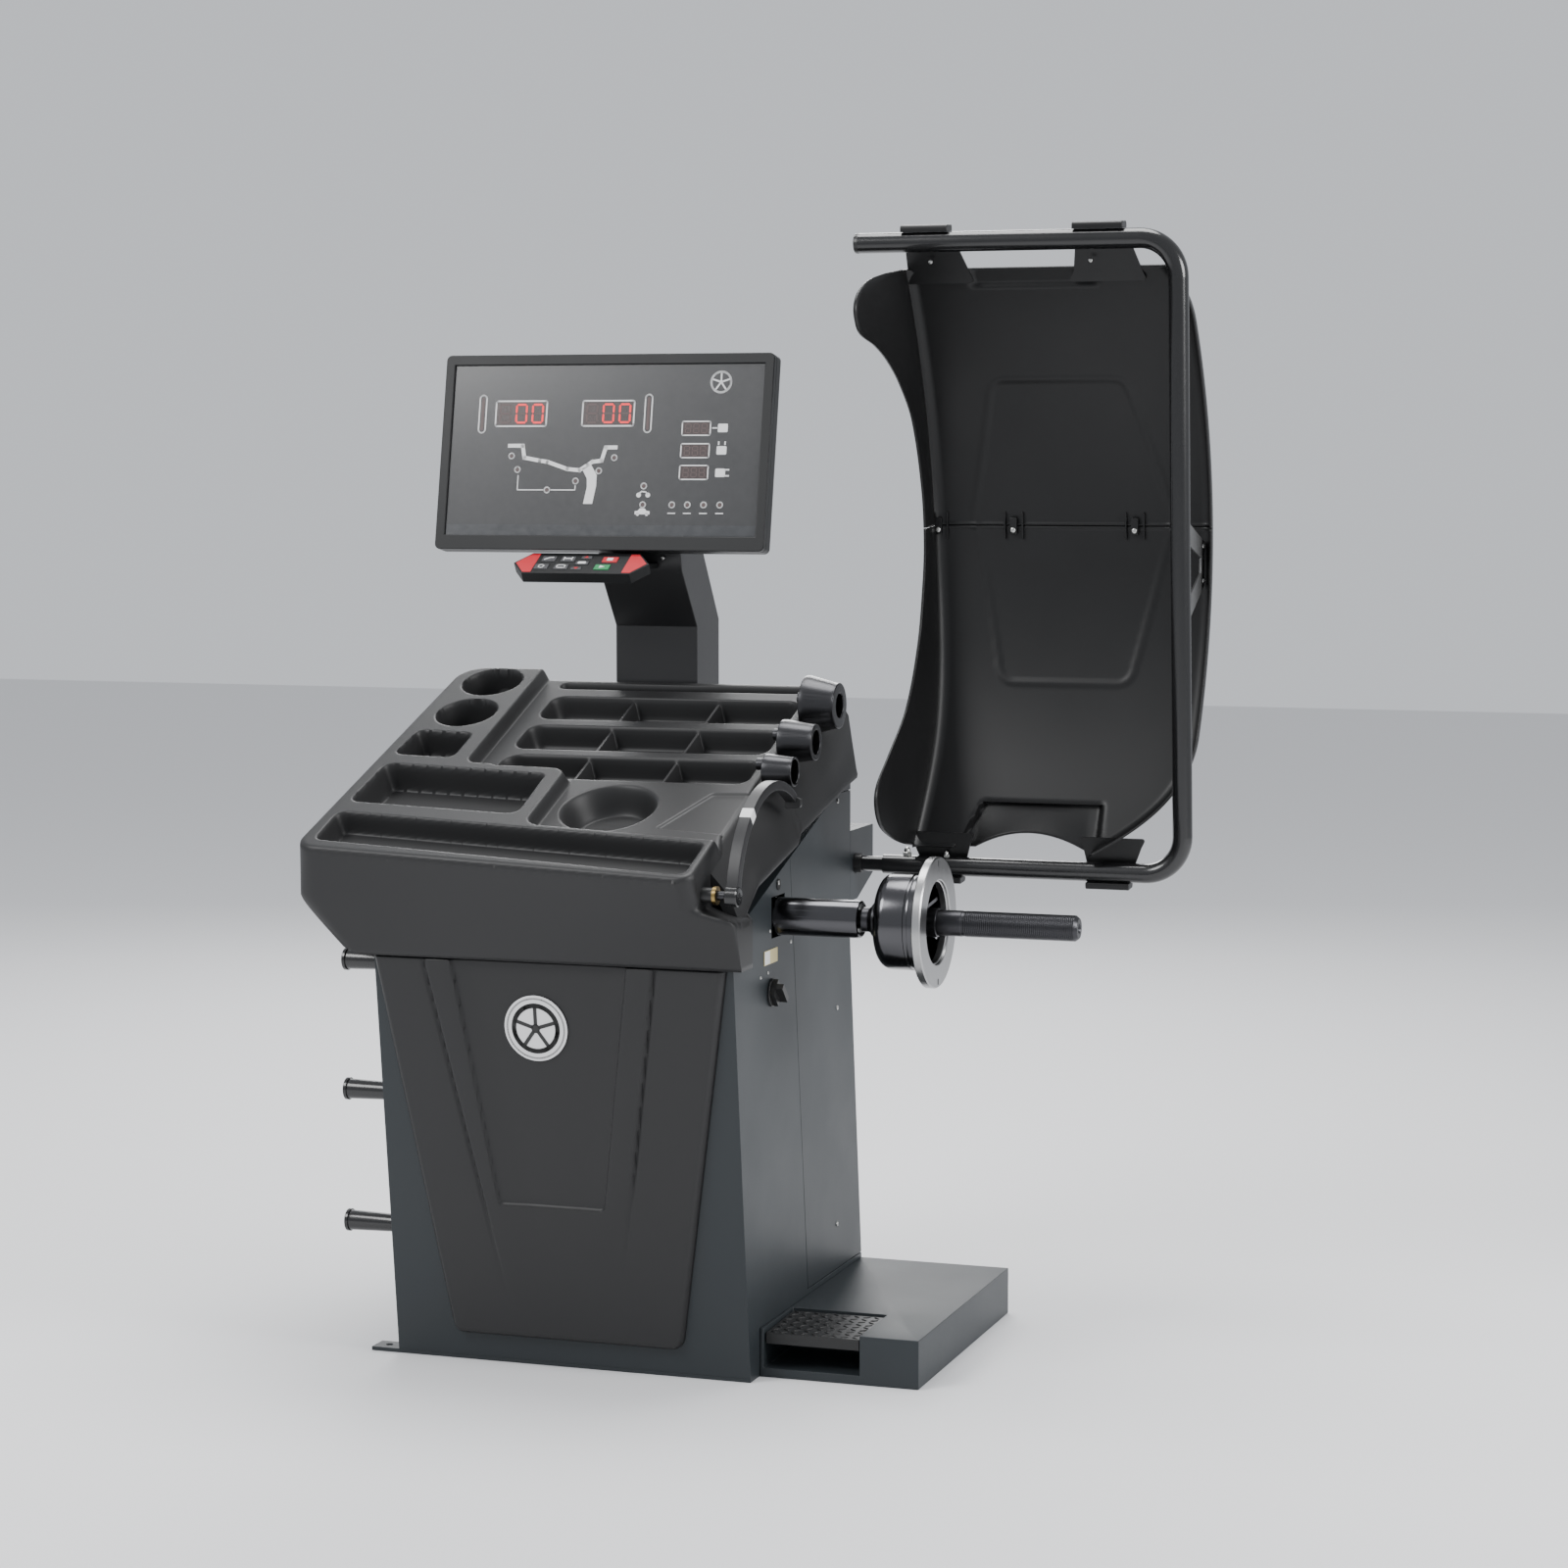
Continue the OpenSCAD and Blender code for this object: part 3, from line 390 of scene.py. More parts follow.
TRAY_EDGE = fillet([cross(-415, 0), cross(262, 0), (262, 112), (252, 150), (252, 688), (-390, 688)],
                   [36, 24, 20, 20, 8, 50], 12)
BLOCK_EDGE = fillet([cross(-440, -30), cross(300, -30), cross(300, 131), cross(-61, 134), (-61, 322),
                     (-240, 336), (-240, 720), (-440, 720)], [5, 5, 5, 26, 26, 16, 5, 5])
# Each pocket's outline, its depth and how far its wall is rounded over
POCKETS = [
    (fillet([cross(-389, 26), cross(248, 13), cross(248, 118), cross(-389, 124)], [18] * 4), 36, 11),
    (fillet([(-386, 184), (-88, 160), (-90, 300), (-378, 322)], [18] * 4), 46, 12),
    (fillet([(-380, 352), (-271, 344), (-271, 436), (-372, 444)], [16] * 4), 44, 11),
    (circle(-314, 510, 52, 72), 56, 8),
    (circle(-314, 627, 52, 72), 56, 8),
    (circle(37, 229, 80, 80), 44, 26),
    (fillet([(-206, 322), (234, 322), (234, 405), (-203, 405)], [22, 22, 22, 30]), 38, 12),
    (fillet([(-204, 424), (235, 424), (235, 513), (-203, 513)], [24] * 4), 38, 12),
    (fillet([(-204, 534), (235, 534), (235, 622), (-203, 622)], [26] * 4), 38, 12),
    (fillet([(-207, 649), (228, 649), (228, 673), (-207, 673)], [11] * 4), 20, 6),
    (fillet([(135, 168), (188, 291), (300, 297), (300, 150)], [4, 8, 4, 4]), 3, 4),
]
DIVIDERS = (-60, 90)
ROW_SPAN = (316, 628)


def tray_height(X, S):
    """Height over the tray's plane at (x, s), and the distance to the tray's edge."""
    edge = inside_depth(TRAY_EDGE, X, S)
    h = -STEP_H * (1 - smooth(inside_depth(BLOCK_EDGE, X, S) / 11 + 0.5))
    for outline, depth, wall in POCKETS:
        h = h - depth * smooth(inside_depth(outline, X, S) / wall)
    for xd in DIVIDERS:
        row = (S > ROW_SPAN[0]) & (S < ROW_SPAN[1])
        crest = -STEP_H - 7 - 38 * smooth((np.abs(X - xd) - 2) / 8)
        h = np.where(row, np.maximum(h, crest), h)
    e = np.clip(edge, 0, RIM_R)
    return h - (RIM_R - np.sqrt(np.maximum(0, RIM_R ** 2 - (RIM_R - e) ** 2))), edge


def to_world(x, s, h):
    return TRAY_M @ Vector((x * MM, s * MM, h * MM))


def skirt_point(p, t):
    """Outside wall under a rim point p (world mm); t runs from the rim to the lower edge."""
    x, y, z0 = p
    back = y > 362
    right = x > 240 and y > -178
    if back or right:
        return (x, y, z0 - t * (60 if right else z0 - 893))
    low = max(TRAY_FLOOR_Z, z0 - 158) if x < -300 else TRAY_FLOOR_Z
    z = z0 + t * (low - z0)
    front = max(0.0, min(1.0, (-200 - y) / 30))
    y_low = -229 - 0.002 * (x - 317)
    y1 = y + front * (y_low - y) * (z0 - z) / (z0 - TRAY_FLOOR_Z)
    cham = max(0.0, 742 - z)
    cham = cham * cham / (cham + 14) * 1.06
    x1 = x + cham * max(0.0, min(1.0, (-300 - x) / 105))
    swell = max(0.0, min(1.0, (LEDGE_Z + 12 - z) / 22))
    swell = swell * swell * (3 - 2 * swell)
    x1 += 54 * swell * max(0.0, min(1.0, (x - 200) / 60))
    return (x1, y1, z)


def build_tray():
    xs = np.arange(-424, 266 + GRID, GRID)
    ss = np.arange(-34, 692 + GRID, GRID)
    X, S = np.meshgrid(xs, ss)
    _, edge = tray_height(X, S)
    step = 0.5
    gx = (inside_depth(TRAY_EDGE, X + step, S) - inside_depth(TRAY_EDGE, X - step, S)) / (2 * step)
    gs = (inside_depth(TRAY_EDGE, X, S + step) - inside_depth(TRAY_EDGE, X, S - step)) / (2 * step)
    near = (edge < 0.45 * GRID) & (edge > -1.6 * GRID)
    X2 = np.where(near, X - edge * gx, X)
    S2 = np.where(near, S - edge * gs, S)
    H, _ = tray_height(X2, S2)
    keep = edge > -1.2 * GRID
    index = {}
    verts, faces = [], []
    rows, cols = X.shape

    def vid(i, j):
        if (i, j) not in index:
            index[(i, j)] = len(verts)
            verts.append(to_world(X2[i, j], S2[i, j], H[i, j]))
        return index[(i, j)]

    for i in range(rows - 1):
        for j in range(cols - 1):
            quad = ((i, j), (i, j + 1), (i + 1, j + 1), (i + 1, j))
            if all(keep[q] for q in quad) and sum(edge[q] > 0.3 for q in quad) > 0:
                faces.append(tuple(vid(*q) for q in quad))
    edges = {(f[k], f[(k + 1) % 4]): True for f in faces for k in range(4)}
    nxt = {a: b for a, b in edges if (b, a) not in edges}
    start = next(iter(nxt))
    loop = [start]
    while nxt[loop[-1]] != start and len(loop) < len(nxt):
        loop.append(nxt[loop[-1]])
    last = loop
    steps = 22
    for k in range(1, steps + 1):
        ring = []
        for v in loop:
            p = verts[v] * 1000
            q = skirt_point((p.x, p.y, p.z), k / steps)
            ring.append(len(verts))
            verts.append(Vector(q) * MM)
        for i in range(len(loop)):
            j = (i + 1) % len(loop)
            faces.append((last[i], last[j], ring[j], ring[i]))
        last = ring
    ob = piece("tray_moulding", verts, faces, "cabinet", "charcoal", smooth=True, angle=60)
    th = ob.modifiers.new("wall", "SOLIDIFY")
    th.thickness = 0.003
    th.offset = -1
    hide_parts("weight_tray")


def low_plane(y):
    """Height of the tray's plane along its right rim."""
    return 1043 + 0.404 * (y - 360)


def lower_edge(y):
    """Height of the flank's lower edge."""
    keys = [(-215, 711), (-129, 768), (63, 813), (75, 829), (330, 886), (368, 893)]
    for (ya, za), (yb, zb) in zip(keys, keys[1:]):
        if y <= yb:
            return za + (zb - za) * (y - ya) / (yb - ya)
    return keys[-1][1]


def build_flank():
    """Right flank of the tray, from its rim down and out to the slanted lower edge."""
    verts = []
    rows = 91
    for i in range(rows):
        y = -215 + 583 * i / (rows - 1)
        zl, ze = low_plane(y), lower_edge(y)
        mid = ze + 0.45 * (zl - 50 - ze)
        prof = [(247, zl - 3), (251, zl - 4), (256, zl - 8), (272, zl - 25), (288, zl - 43), (293, zl - 51),
                (300, mid + 10), (307, ze + 14), (309, ze + 6), (308, ze), (301, ze - 1), (297, ze - 1)]
        verts += [Vector((x, y, z)) * MM for x, z in prof]
    n = len(prof)
    faces = grid_faces(rows, n) + [tuple(range(n)), tuple((rows - 1) * n + k for k in range(n))]
    piece("tray_flank", verts, faces, "cabinet", "charcoal", angle=28)


build_tray()
build_flank()


# ---------------------------------------------------------------- wheel hood
HOOD_H = 1016.0
HOOD_MID = HOOD_H / 2 + 39
HOOD_BULGE = 164.0
ARC_HALF = 490.0
ARC_R = (ARC_HALF ** 2 + (HOOD_BULGE - 24) ** 2) / (2 * (HOOD_BULGE - 24))
SHELL_LOW, SHELL_TOP = 31.0, 972.0
TUBE_R = 16.0
# Free edge of the wing: height above the pivot and reach in front of the frame
WING = [(31, -15), (50, 70), (72, 132), (98, 181), (135, 203), (165, 190), (200, 128), (260, 25),
        (357, -52), (450, -88), (520, -102), (610, -94), (727, -46), (790, 20), (830, 84), (858, 150),
        (880, 226), (905, 252), (930, 252), (952, 218), (966, 150), (972, 20)]


def along(keys, t):
    """Smooth value between keyed pairs."""
    t = max(keys[0][0], min(keys[-1][0], t))
    for i in range(len(keys) - 1):
        if t <= keys[i + 1][0]:
            break
    p = [keys[max(0, min(len(keys) - 1, i + k))] for k in (-1, 0, 1, 2)]
    (x0, a), (x1, b), (x2, c), (x3, d) = p
    u = (t - x1) / (x2 - x1)
    m1 = (c - a) / max(1e-6, x2 - x0) * (x2 - x1)
    m2 = (d - b) / max(1e-6, x3 - x1) * (x2 - x1)
    return ((2 * u ** 3 - 3 * u * u + 1) * b + (u ** 3 - 2 * u * u + u) * m1
            + (-2 * u ** 3 + 3 * u * u) * c + (u ** 3 - u * u) * m2)


def shell_depth(z):
    return HOOD_BULGE - ARC_R + math.sqrt(max(0, ARC_R ** 2 - (z - HOOD_MID) ** 2)) - 2


def shell_right(z):
    t = abs(z - HOOD_MID) / 471
    return 866 - 17 * min(1, t * 1.15) ** 2 - 78 * max(0, (t - 0.70) / 0.30) ** 2.4


def shell_crease(z):
    return along([(31, 396), (230, 411), (500, 399), (760, 391), (972, 386)], z)


EMBOSS = fillet([(506, 790), (730, 790), (802, 565), (734, 290), (516, 290), (465, 565)],
                [26, 26, 60, 26, 26, 60], 5)


def panel_line(x, z):
    """Depth of the embossed outline in the middle of the shell."""
    d = float(inside_depth(EMBOSS, np.array([x]), np.array([z]))[0])
    return 1.5 * max(0.0, 1 - (d / 6.0) ** 2)


def hood_place(x, y, z):
    return HOOD_M @ (Vector((x, y, z)) * MM)


def build_shell(name, z0, z1, node, rows):
    """One half of the shell: wing, crease, back wall with embossing and recess, and turned-in right rim."""
    verts = []
    wing_n, wall_n, rim_n = 22, 96, 9
    for i in range(rows + 1):
        z = z0 + (z1 - z0) * i / rows
        dep, xc, xr = shell_depth(z), shell_crease(z), shell_right(z)
        free = -along(WING, z)
        row = []
        for k in range(wing_n):
            u = k / wing_n
            y = free + (dep - 10 - free) * u
            x = 395 + (xc - 395) * u ** 2.2 + 3 * math.sin(math.pi * u)
            row.append((x, y, z))
        for k in range(wall_n + 1):
            u = k / wall_n
            x = xc + (xr - xc) * u
            round_in = 10 * (1 - min(1, (x - xc) / 16)) ** 2 + 7 * (1 - min(1, (xr - x) / 16)) ** 2
            y = dep - round_in - panel_line(x, z)
            side = min(x - 466 - 0.53 * (z - 31), 704 - x)
            low = max(0, min(1, (104 - z) / 7)) * max(0, min(1, side / 6 + 0.5))
            y += 15 * low * low * (3 - 2 * low)
            arch = 26 * max(0, 1 - ((x - 588) / 92) ** 2) * max(0, 1 - (z - 31) / 70)
            top = max(0, min(1, (z - 940) / 8)) * max(0, min(1, min(x - 492, 700 - x) / 9 + 0.5))
            y += 6 * top
            y -= 2.5 * max(0, 1 - abs(z - HOOD_MID) / 5)
            row.append((x, y, z + arch))
        for k in range(1, rim_n + 1):
            u = k / rim_n
            row.append((xr + 3 * math.sin(u * 2.2), dep - 7 - 26 * u, z))
        verts += [hood_place(*p) for p in row]
    ob = piece(name, verts, grid_faces(rows + 1, len(row)), "hood", "shell", angle=50)
    th = ob.modifiers.new("wall", "SOLIDIFY")
    th.thickness = 0.0035
    th.offset = 0
    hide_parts(node)
    return ob


def tab(name, x0, x1, top, flare):
    """Leg that carries the shell behind the tube, spreading into the shell's edge."""
    sign = 1 if top else -1
    z_tube = HOOD_H if top else 0
    z_shell = SHELL_TOP - 8 if top else SHELL_LOW + 8
    end, bend, foot = z_tube + sign * 14, z_tube - sign * 12, z_shell - sign * 16
    prof = [(x0 + flare[0], end), (x0 + flare[0], z_tube), (x0 + flare[0] * 0.7, bend), (x0, z_shell),
            (x0 - 8, foot), (x1 + 8, foot), (x1, z_shell), (x1 - flare[1] * 0.7, bend),
            (x1 - flare[1], z_tube), (x1 - flare[1], end)]
    outline = fillet(prof, [4, 4, 12, 10, 4, 4, 10, 12, 4, 4], 3)
    verts = []
    for side in (0, 1):
        for x, z in outline:
            near = max(0, min(1, abs(z - z_tube) / 34))
            y = TUBE_R + 1.5 + near * (shell_depth(z_shell) - TUBE_R - 5)
            verts.append(hood_place(x, y + 4 * side, z))
    ob = piece(name, verts, tube_faces(2, len(outline)), "hood", "shell", angle=40)
    w0, w1 = x0 + flare[0] + 1, x1 - flare[1] - 1
    pad = fillet([(-12, 16.2), (20, 16.2), (20, 27.4), (-12, 27.4)], [1.5, 1.5, 5, 5], 4)
    verts = [hood_place(w, y, z_tube + sign * z) for w in (w0, w1) for y, z in pad]
    ob = piece(name + "_lip", verts, tube_faces(2, len(pad)), "hood", "shell", angle=50)
    add_bevel(ob, 0.0022, 3)


def turned_head(name, rings, n, at, normal, body, look, place=None):
    """Rings of (height, radius at each step), stacked along normal and closed at the far end."""
    verts = []
    for height, radius in rings:
        for i in range(n):
            a = 2 * math.pi * i / n
            verts.append(Vector((radius(i) * math.cos(a), radius(i) * math.sin(a), height)))
    faces = grid_faces(len(rings), n, True) + [tuple((len(rings) - 1) * n + i for i in range(n))]
    turn = Vector(normal).to_track_quat("Z", "Y").to_matrix().to_4x4()
    base = Matrix.Translation(Vector(at) * MM) @ turn @ TO_METRES
    if place is not None:
        base = place @ base
    return piece(name, verts, faces, body, look, place=base, angle=40)


def screw(name, at, normal, r, body, look="zinc", head=2.2, place=None):
    """Pan head screw with a cross recess, pointing along normal."""
    rings = [(head * h, lambda i, k=k: r * k) for k, h in ((1.0, 0.0), (1.0, 0.45), (0.86, 0.8), (0.55, 1.0))]
    for height, wide, slim in ((head, 0.42, 0.22), (head * 0.45, 0.36, 0.18)):
        rings.append((height, lambda i, a=wide, b=slim: r * (b if (i // 3) % 2 else a)))
    return turned_head(name, rings, 24, at, normal, body, look, place)


def build_hood():
    build_shell("hood_moulding_low", SHELL_LOW, HOOD_MID - 0.6, "hood_shell_lower", 130)
    build_shell("hood_moulding_high", HOOD_MID + 0.6, SHELL_TOP, "hood_shell_upper", 130)
    tab("hood_leg_top_left", 388, 492, True, (8, 16))
    tab("hood_leg_top_right", 664, 776, True, (14, 14))
    tab("hood_leg_low_left", 394, 492, False, (12, 12))
    tab("hood_leg_low_right", 682, 778, False, (6, 16))
    y = shell_depth(HOOD_MID) - 3
    for i, x in enumerate((404, 533, 738)):
        box = fillet(box_of(x - 6, HOOD_MID - 14, x + 6, HOOD_MID + 14), [2] * 4, 3)
        clip = prism("shell_clip_%d" % i, box, y - 8, y - 1, "hood", "shell", place=HOOD_MM, bevel=0.001)
        for dx in (-15, 15):
            bar = box_of(x + dx - 1.2, HOOD_MID - 22, x + dx + 1.2, HOOD_MID + 22)
            rib = prism("shell_rib_%d_%d" % (i, dx > 0), bar, y - 5, y + 1, "hood", "shell", place=HOOD_MM,
                        bevel=0.0005)
        head = screw("shell_screw_%d" % i, (x, y - 8, HOOD_MID - 7), (0, -1, 0), 4.6, "hood", place=HOOD_M)
        if i == 0:
            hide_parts("hood_bolts")
    for i, (x, z) in enumerate(((436, HOOD_H - 32), (700, HOOD_H - 34), (470, 34), (748, 34))):
        screw("leg_screw_%d" % i, (x, TUBE_R + 11, z), (0, -1, 0), 3.6, "hood", place=HOOD_M)
    for i, (y, dz) in enumerate(((24, 8), (24, -128), (HOOD_BULGE - 22, -30), (HOOD_BULGE - 24, -86))):
        screw("truss_screw_%d" % i, (854.2, y, HOOD_MID + dz), (1, 0, 0), 4.2, "hood", place=HOOD_M)
    plug = [(320, 0.0), (320, 10), (321.5, 13), (324, 13.4), (330, 13.4), (330, 15.6), (322, 16.4),
            (319, 15.2), (318, 12), (318, 0.0)]
    lathe("tube_plug", plug, "hood", "black", (0, HOOD_H), HOOD_MM, 48)


def acorn(name, at, normal, r, h, body, look="zinc"):
    """Hexagon collar with a domed cap."""
    n = 36

    def hexagon(i):
        a = 2 * math.pi * i / n % (math.pi / 3) - math.pi / 6
        return r * 1.15 * math.cos(math.pi / 6) / math.cos(a)

    rings = [(0, hexagon), (h * 0.40, hexagon)]
    for k, hh in ((1.0, 0.45), (0.98, 0.6), (0.85, 0.8), (0.5, 0.96), (0.12, 1.0)):
        rings.append((h * hh, lambda i, k=k: r * 0.86 * k))
    return turned_head(name, rings, n, at, normal, body, look)


build_hood()

# ---------------------------------------------------------------- CAD nodes kept with rounded edges
def soften(node, body, look, width, angle=32, segments=3):
    """Copy of a CAD node with flat faces merged and edges rounded, shown in its place."""
    me = NODES[node].data.copy()
    bm = bmesh.new()
    bm.from_mesh(me)
    bmesh.ops.remove_doubles(bm, verts=bm.verts, dist=1e-6)
    bmesh.ops.dissolve_limit(bm, angle_limit=math.radians(1), verts=bm.verts, edges=bm.edges)
    bm.to_mesh(me)
    bm.free()
    ob = bpy.data.objects.new(node + "_finish", me)
    bpy.context.scene.collection.objects.link(ob)
    me.materials.clear()
    me.materials.append(M[look])
    me.polygons.foreach_set("use_smooth", [True] * len(me.polygons))
    me.set_sharp_from_angle(angle=math.radians(40))
    add_bevel(ob, width, segments, angle)
    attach(ob, body)
    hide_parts(node)
    return ob


for node, look, width, slot_name in (
        ("cabinet_shell", "anthracite", 0.0022, "anthracite_steel"),
        ("side_panel", "anthracite", 0.0007, "anthracite_steel"),
        ("rear_panel", "anthracite", 0.0007, "anthracite_steel"),
        ("wheel_plinth", "anthracite", 0.0018, "anthracite_steel"),
        ("pivot_box", "anthracite", 0.0018, "anthracite_steel"),
        ("base_frame", "anthracite", 0.0012, "anthracite_steel"),
        ("monitor_arm", "arm", 0.0016, "black_steel"),
        ("monitor_housing", "bezel", 0.003, "black_plastic"),
        ("monitor_bezel", "bezel", 0.0014, "black_plastic"),
        ("keypad_housing", "bezel", 0.0012, "black_plastic"),
        ("spindle_support", "primer", 0.001, "frame_steel")):
    soften(node, "cabinet", look, width)
soften("hood_bracket", "hood", "truss", 0.0008)
for size in ("large", "medium", "small"):
    soften("cone_" + size, "cone_" + size, "cone", 0.0014, angle=20)
for key, look in (("distance", "key"), ("width", "key"), ("diameter", "key"), ("mode", "key"), ("up", "key"),
                  ("enter", "key"), ("down", "key"), ("stop", "red"), ("start", "green")):
    slot_name = {"red": "key_red", "green": "key_green"}.get(look, "key_grey")
    soften("key_" + key, "key_" + key, look, 0.0008, segments=2)
soften("storage_pegs", "cabinet", "tube", 0.0012)


# ---------------------------------------------------------------- flat prints
def prints(name, outlines, y0, y1, body, look, place):
    """Many thin plates in one piece; each outline is in the face's own x and z."""
    verts, faces = [], []
    for o in outlines:
        faces += tube_faces(2, len(o), len(verts))
        verts += [place @ (Vector((x, y, z)) * MM) for y in (y0, y1) for x, z in o]
    ob = piece(name, verts, faces, body, look, smooth=False)
    return ob


def stroke(path, w, closed=False):
    """Line of width w along a path, one small plate per segment."""
    out = []
    pts = list(path) + ([path[0]] if closed else [])
    for (xa, za), (xb, zb) in zip(pts, pts[1:]):
        d = Vector((xb - xa, zb - za))
        if d.length < 1e-6:
            continue
        d = d.normalized() * (w / 2)
        side = Vector((-d.y, d.x))
        a, b = Vector((xa, za)) - d * 0.8, Vector((xb, zb)) + d * 0.8
        out.append([tuple(p) for p in (a - side, b - side, b + side, a + side)])
    return out


def wheel_icon(cx, cz, r):
    """Generic wheel: a tyre ring, a hub and five spokes."""
    out = stroke(circle(cx, cz, r, 40), r * 0.2, True) + [circle(cx, cz, r * 0.2)]
    for k in range(5):
        a = math.radians(90 + 72 * k)
        out += stroke([(cx + 0.2 * r * math.cos(a), cz + 0.2 * r * math.sin(a)),
                       (cx + 0.86 * r * math.cos(a), cz + 0.86 * r * math.sin(a))], r * 0.16)
    return out


ZERO = "abcdef"
ALL_SEGMENTS = "abcdefg"


def digit(x, z, w, h, shown):
    """Seven-segment figure; returns the chosen segments as slim hexagons."""
    t = w * 0.17
    ends = {"a": (0, h, w, h), "b": (w, h, w, h / 2), "c": (w, h / 2, w, 0), "d": (0, 0, w, 0),
            "e": (0, 0, 0, h / 2), "f": (0, h / 2, 0, h), "g": (0, h / 2, w, h / 2)}
    out = []
    for s in shown:
        xa, za, xb, zb = ends[s]
        d = Vector((xb - xa, zb - za)).normalized()
        n = Vector((-d.y, d.x)) * t / 2
        pa, pb = Vector((x + xa, z + za)) + d * t * 0.25, Vector((x + xb, z + zb)) - d * t * 0.25
        qa, qb = pa + d * t / 2, pb - d * t / 2
        out.append([tuple(pa), tuple(qa - n), tuple(qb - n), tuple(pb), tuple(qb + n), tuple(qa + n)])
    return out


def build_screen():
    """Display print: figures in their windows, the rim's section, weight positions and small symbols."""
    glass_y = 4.0
    white, lit, dark, off = [], [], [], []
    for x0 in (-196, -41):
        white += stroke(round_rect(x0, 44, x0 + 91, 86, 3), 2.4, True)
        dark.append(round_rect(x0 + 1.5, 45.5, x0 + 89.5, 84.5, 2))
        for k in range(3):
            x = x0 + 8 + 29 * k
            off += digit(x, 50, 18, 30, "g" if k else ALL_SEGMENTS)
            if k:
                lit += digit(x, 50, 18, 30, ZERO)
    for cx in (-220, 75):
        white += stroke(round_rect(cx - 6, 33, cx + 6, 96, 6), 2.2, True)
        off.append(round_rect(cx - 2.5, 37, cx + 2.5, 92, 2))
    for z0 in (28, -9, -45):
        white += stroke(round_rect(136, z0, 185, z0 + 23, 2.5), 1.9, True)
        dark.append(round_rect(137, z0 + 1, 184, z0 + 22, 2))
        for k in range(3):
            off += digit(142 + 14 * k, z0 + 4, 9, 15, ALL_SEGMENTS)
    barrel = [(-168, 11), (-144, 11), (-140, -9), (-112, -14), (-98, -16), (-62, -28), (-40, -30), (-26, -21),
              (-18, -16), (-2, -14), (4, 8), (22, 8)]
    white += stroke(barrel, 6.5)
    white.append([(-36, -27), (-20, -21), (-9, -38), (-9, -56), (-14, -86), (-30, -86), (-25, -58),
                  (-26, -44)])
    for cx, cz in ((-163, -6), (-151, -29), (-46, -48), (-96, -63), (20, -9), (-6, -31), (75, -56), (75, -87),
                   (126, -87), (153, -87), (181, -87), (209, -87)):
        white += stroke(circle(cx, cz, 4.6, 18), 2.0, True)
        off.append(circle(cx, cz, 3.0, 14))
    for path in ([(-149, -39), (-149, -63), (-103, -63)], [(-89, -63), (-46, -63), (-46, -56)]):
        white += stroke(path, 1.6)
    x = 198
    for pattern in range(3):
        z = 40 - 37 * pattern
        white.append(round_rect(x, z - 7, x + 17, z + 7, 2))
        if pattern == 0:
            white += stroke([(x - 9, z), (x - 2, z)], 2)
        elif pattern == 1:
            for dx in (3, 14):
                white += stroke([(x + dx, z + 10), (x + dx, z + 14)], 2.4)
        else:
            for dz in (5, -5):
                white += stroke([(x + 17, z + dz), (x + 23, z + dz)], 2.4)
    for x in (126, 153, 181, 209):
        white += stroke([(x - 6, -101), (x + 6, -101)], 1.8)
    white += [circle(67, -71, 4), circle(83, -71, 4)]
    white += stroke([(67, -69), (72, -65), (79, -66), (83, -70)], 2.2)
    white += [[(62, -103), (88, -103), (88, -98), (82, -97), (79, -93), (71, -93), (67, -97), (62, -98)],
              circle(67, -103, 2.6), circle(83, -103, 2.6)]
    white += wheel_icon(199, 116, 17)
    prints("screen_print", white, glass_y - 0.5, glass_y + 0.1, "cabinet", "white", MON_M)
    prints("screen_windows", dark, glass_y - 0.15, glass_y + 0.1, "cabinet", "led_window", MON_M)
    prints("screen_unlit", off, glass_y - 0.35, glass_y + 0.1, "cabinet", "led_off", MON_M)
    prints("screen_lit", lit, glass_y - 0.55, glass_y + 0.1, "cabinet", "led", MON_M)
    prints("screen_band", [box_of(-273, -139, 273, -121)], glass_y - 0.2, glass_y + 0.1, "cabinet", "band",
           MON_M)


build_screen()


def pad_prints(name, outlines, body, look, base=0.0):
    """Outlines on the keypad's upper face; local z runs up the slope."""
    flip = PAD_M @ Matrix(((1, 0, 0, 0), (0, 0, 1, 0), (0, 1, 0, 0), (0, 0, 0, 1)))
    return prints(name, outlines, base - 0.1, base + 0.5, body, look, flip)


KEY_AT = {"distance": (-60, 12), "width": (-26, 12), "diameter": (-66, -12), "mode": (-31, -12),
          "up": (5, 17), "enter": (2, 0), "down": (-3, -17), "stop": (48, 11), "start": (41, -12)}


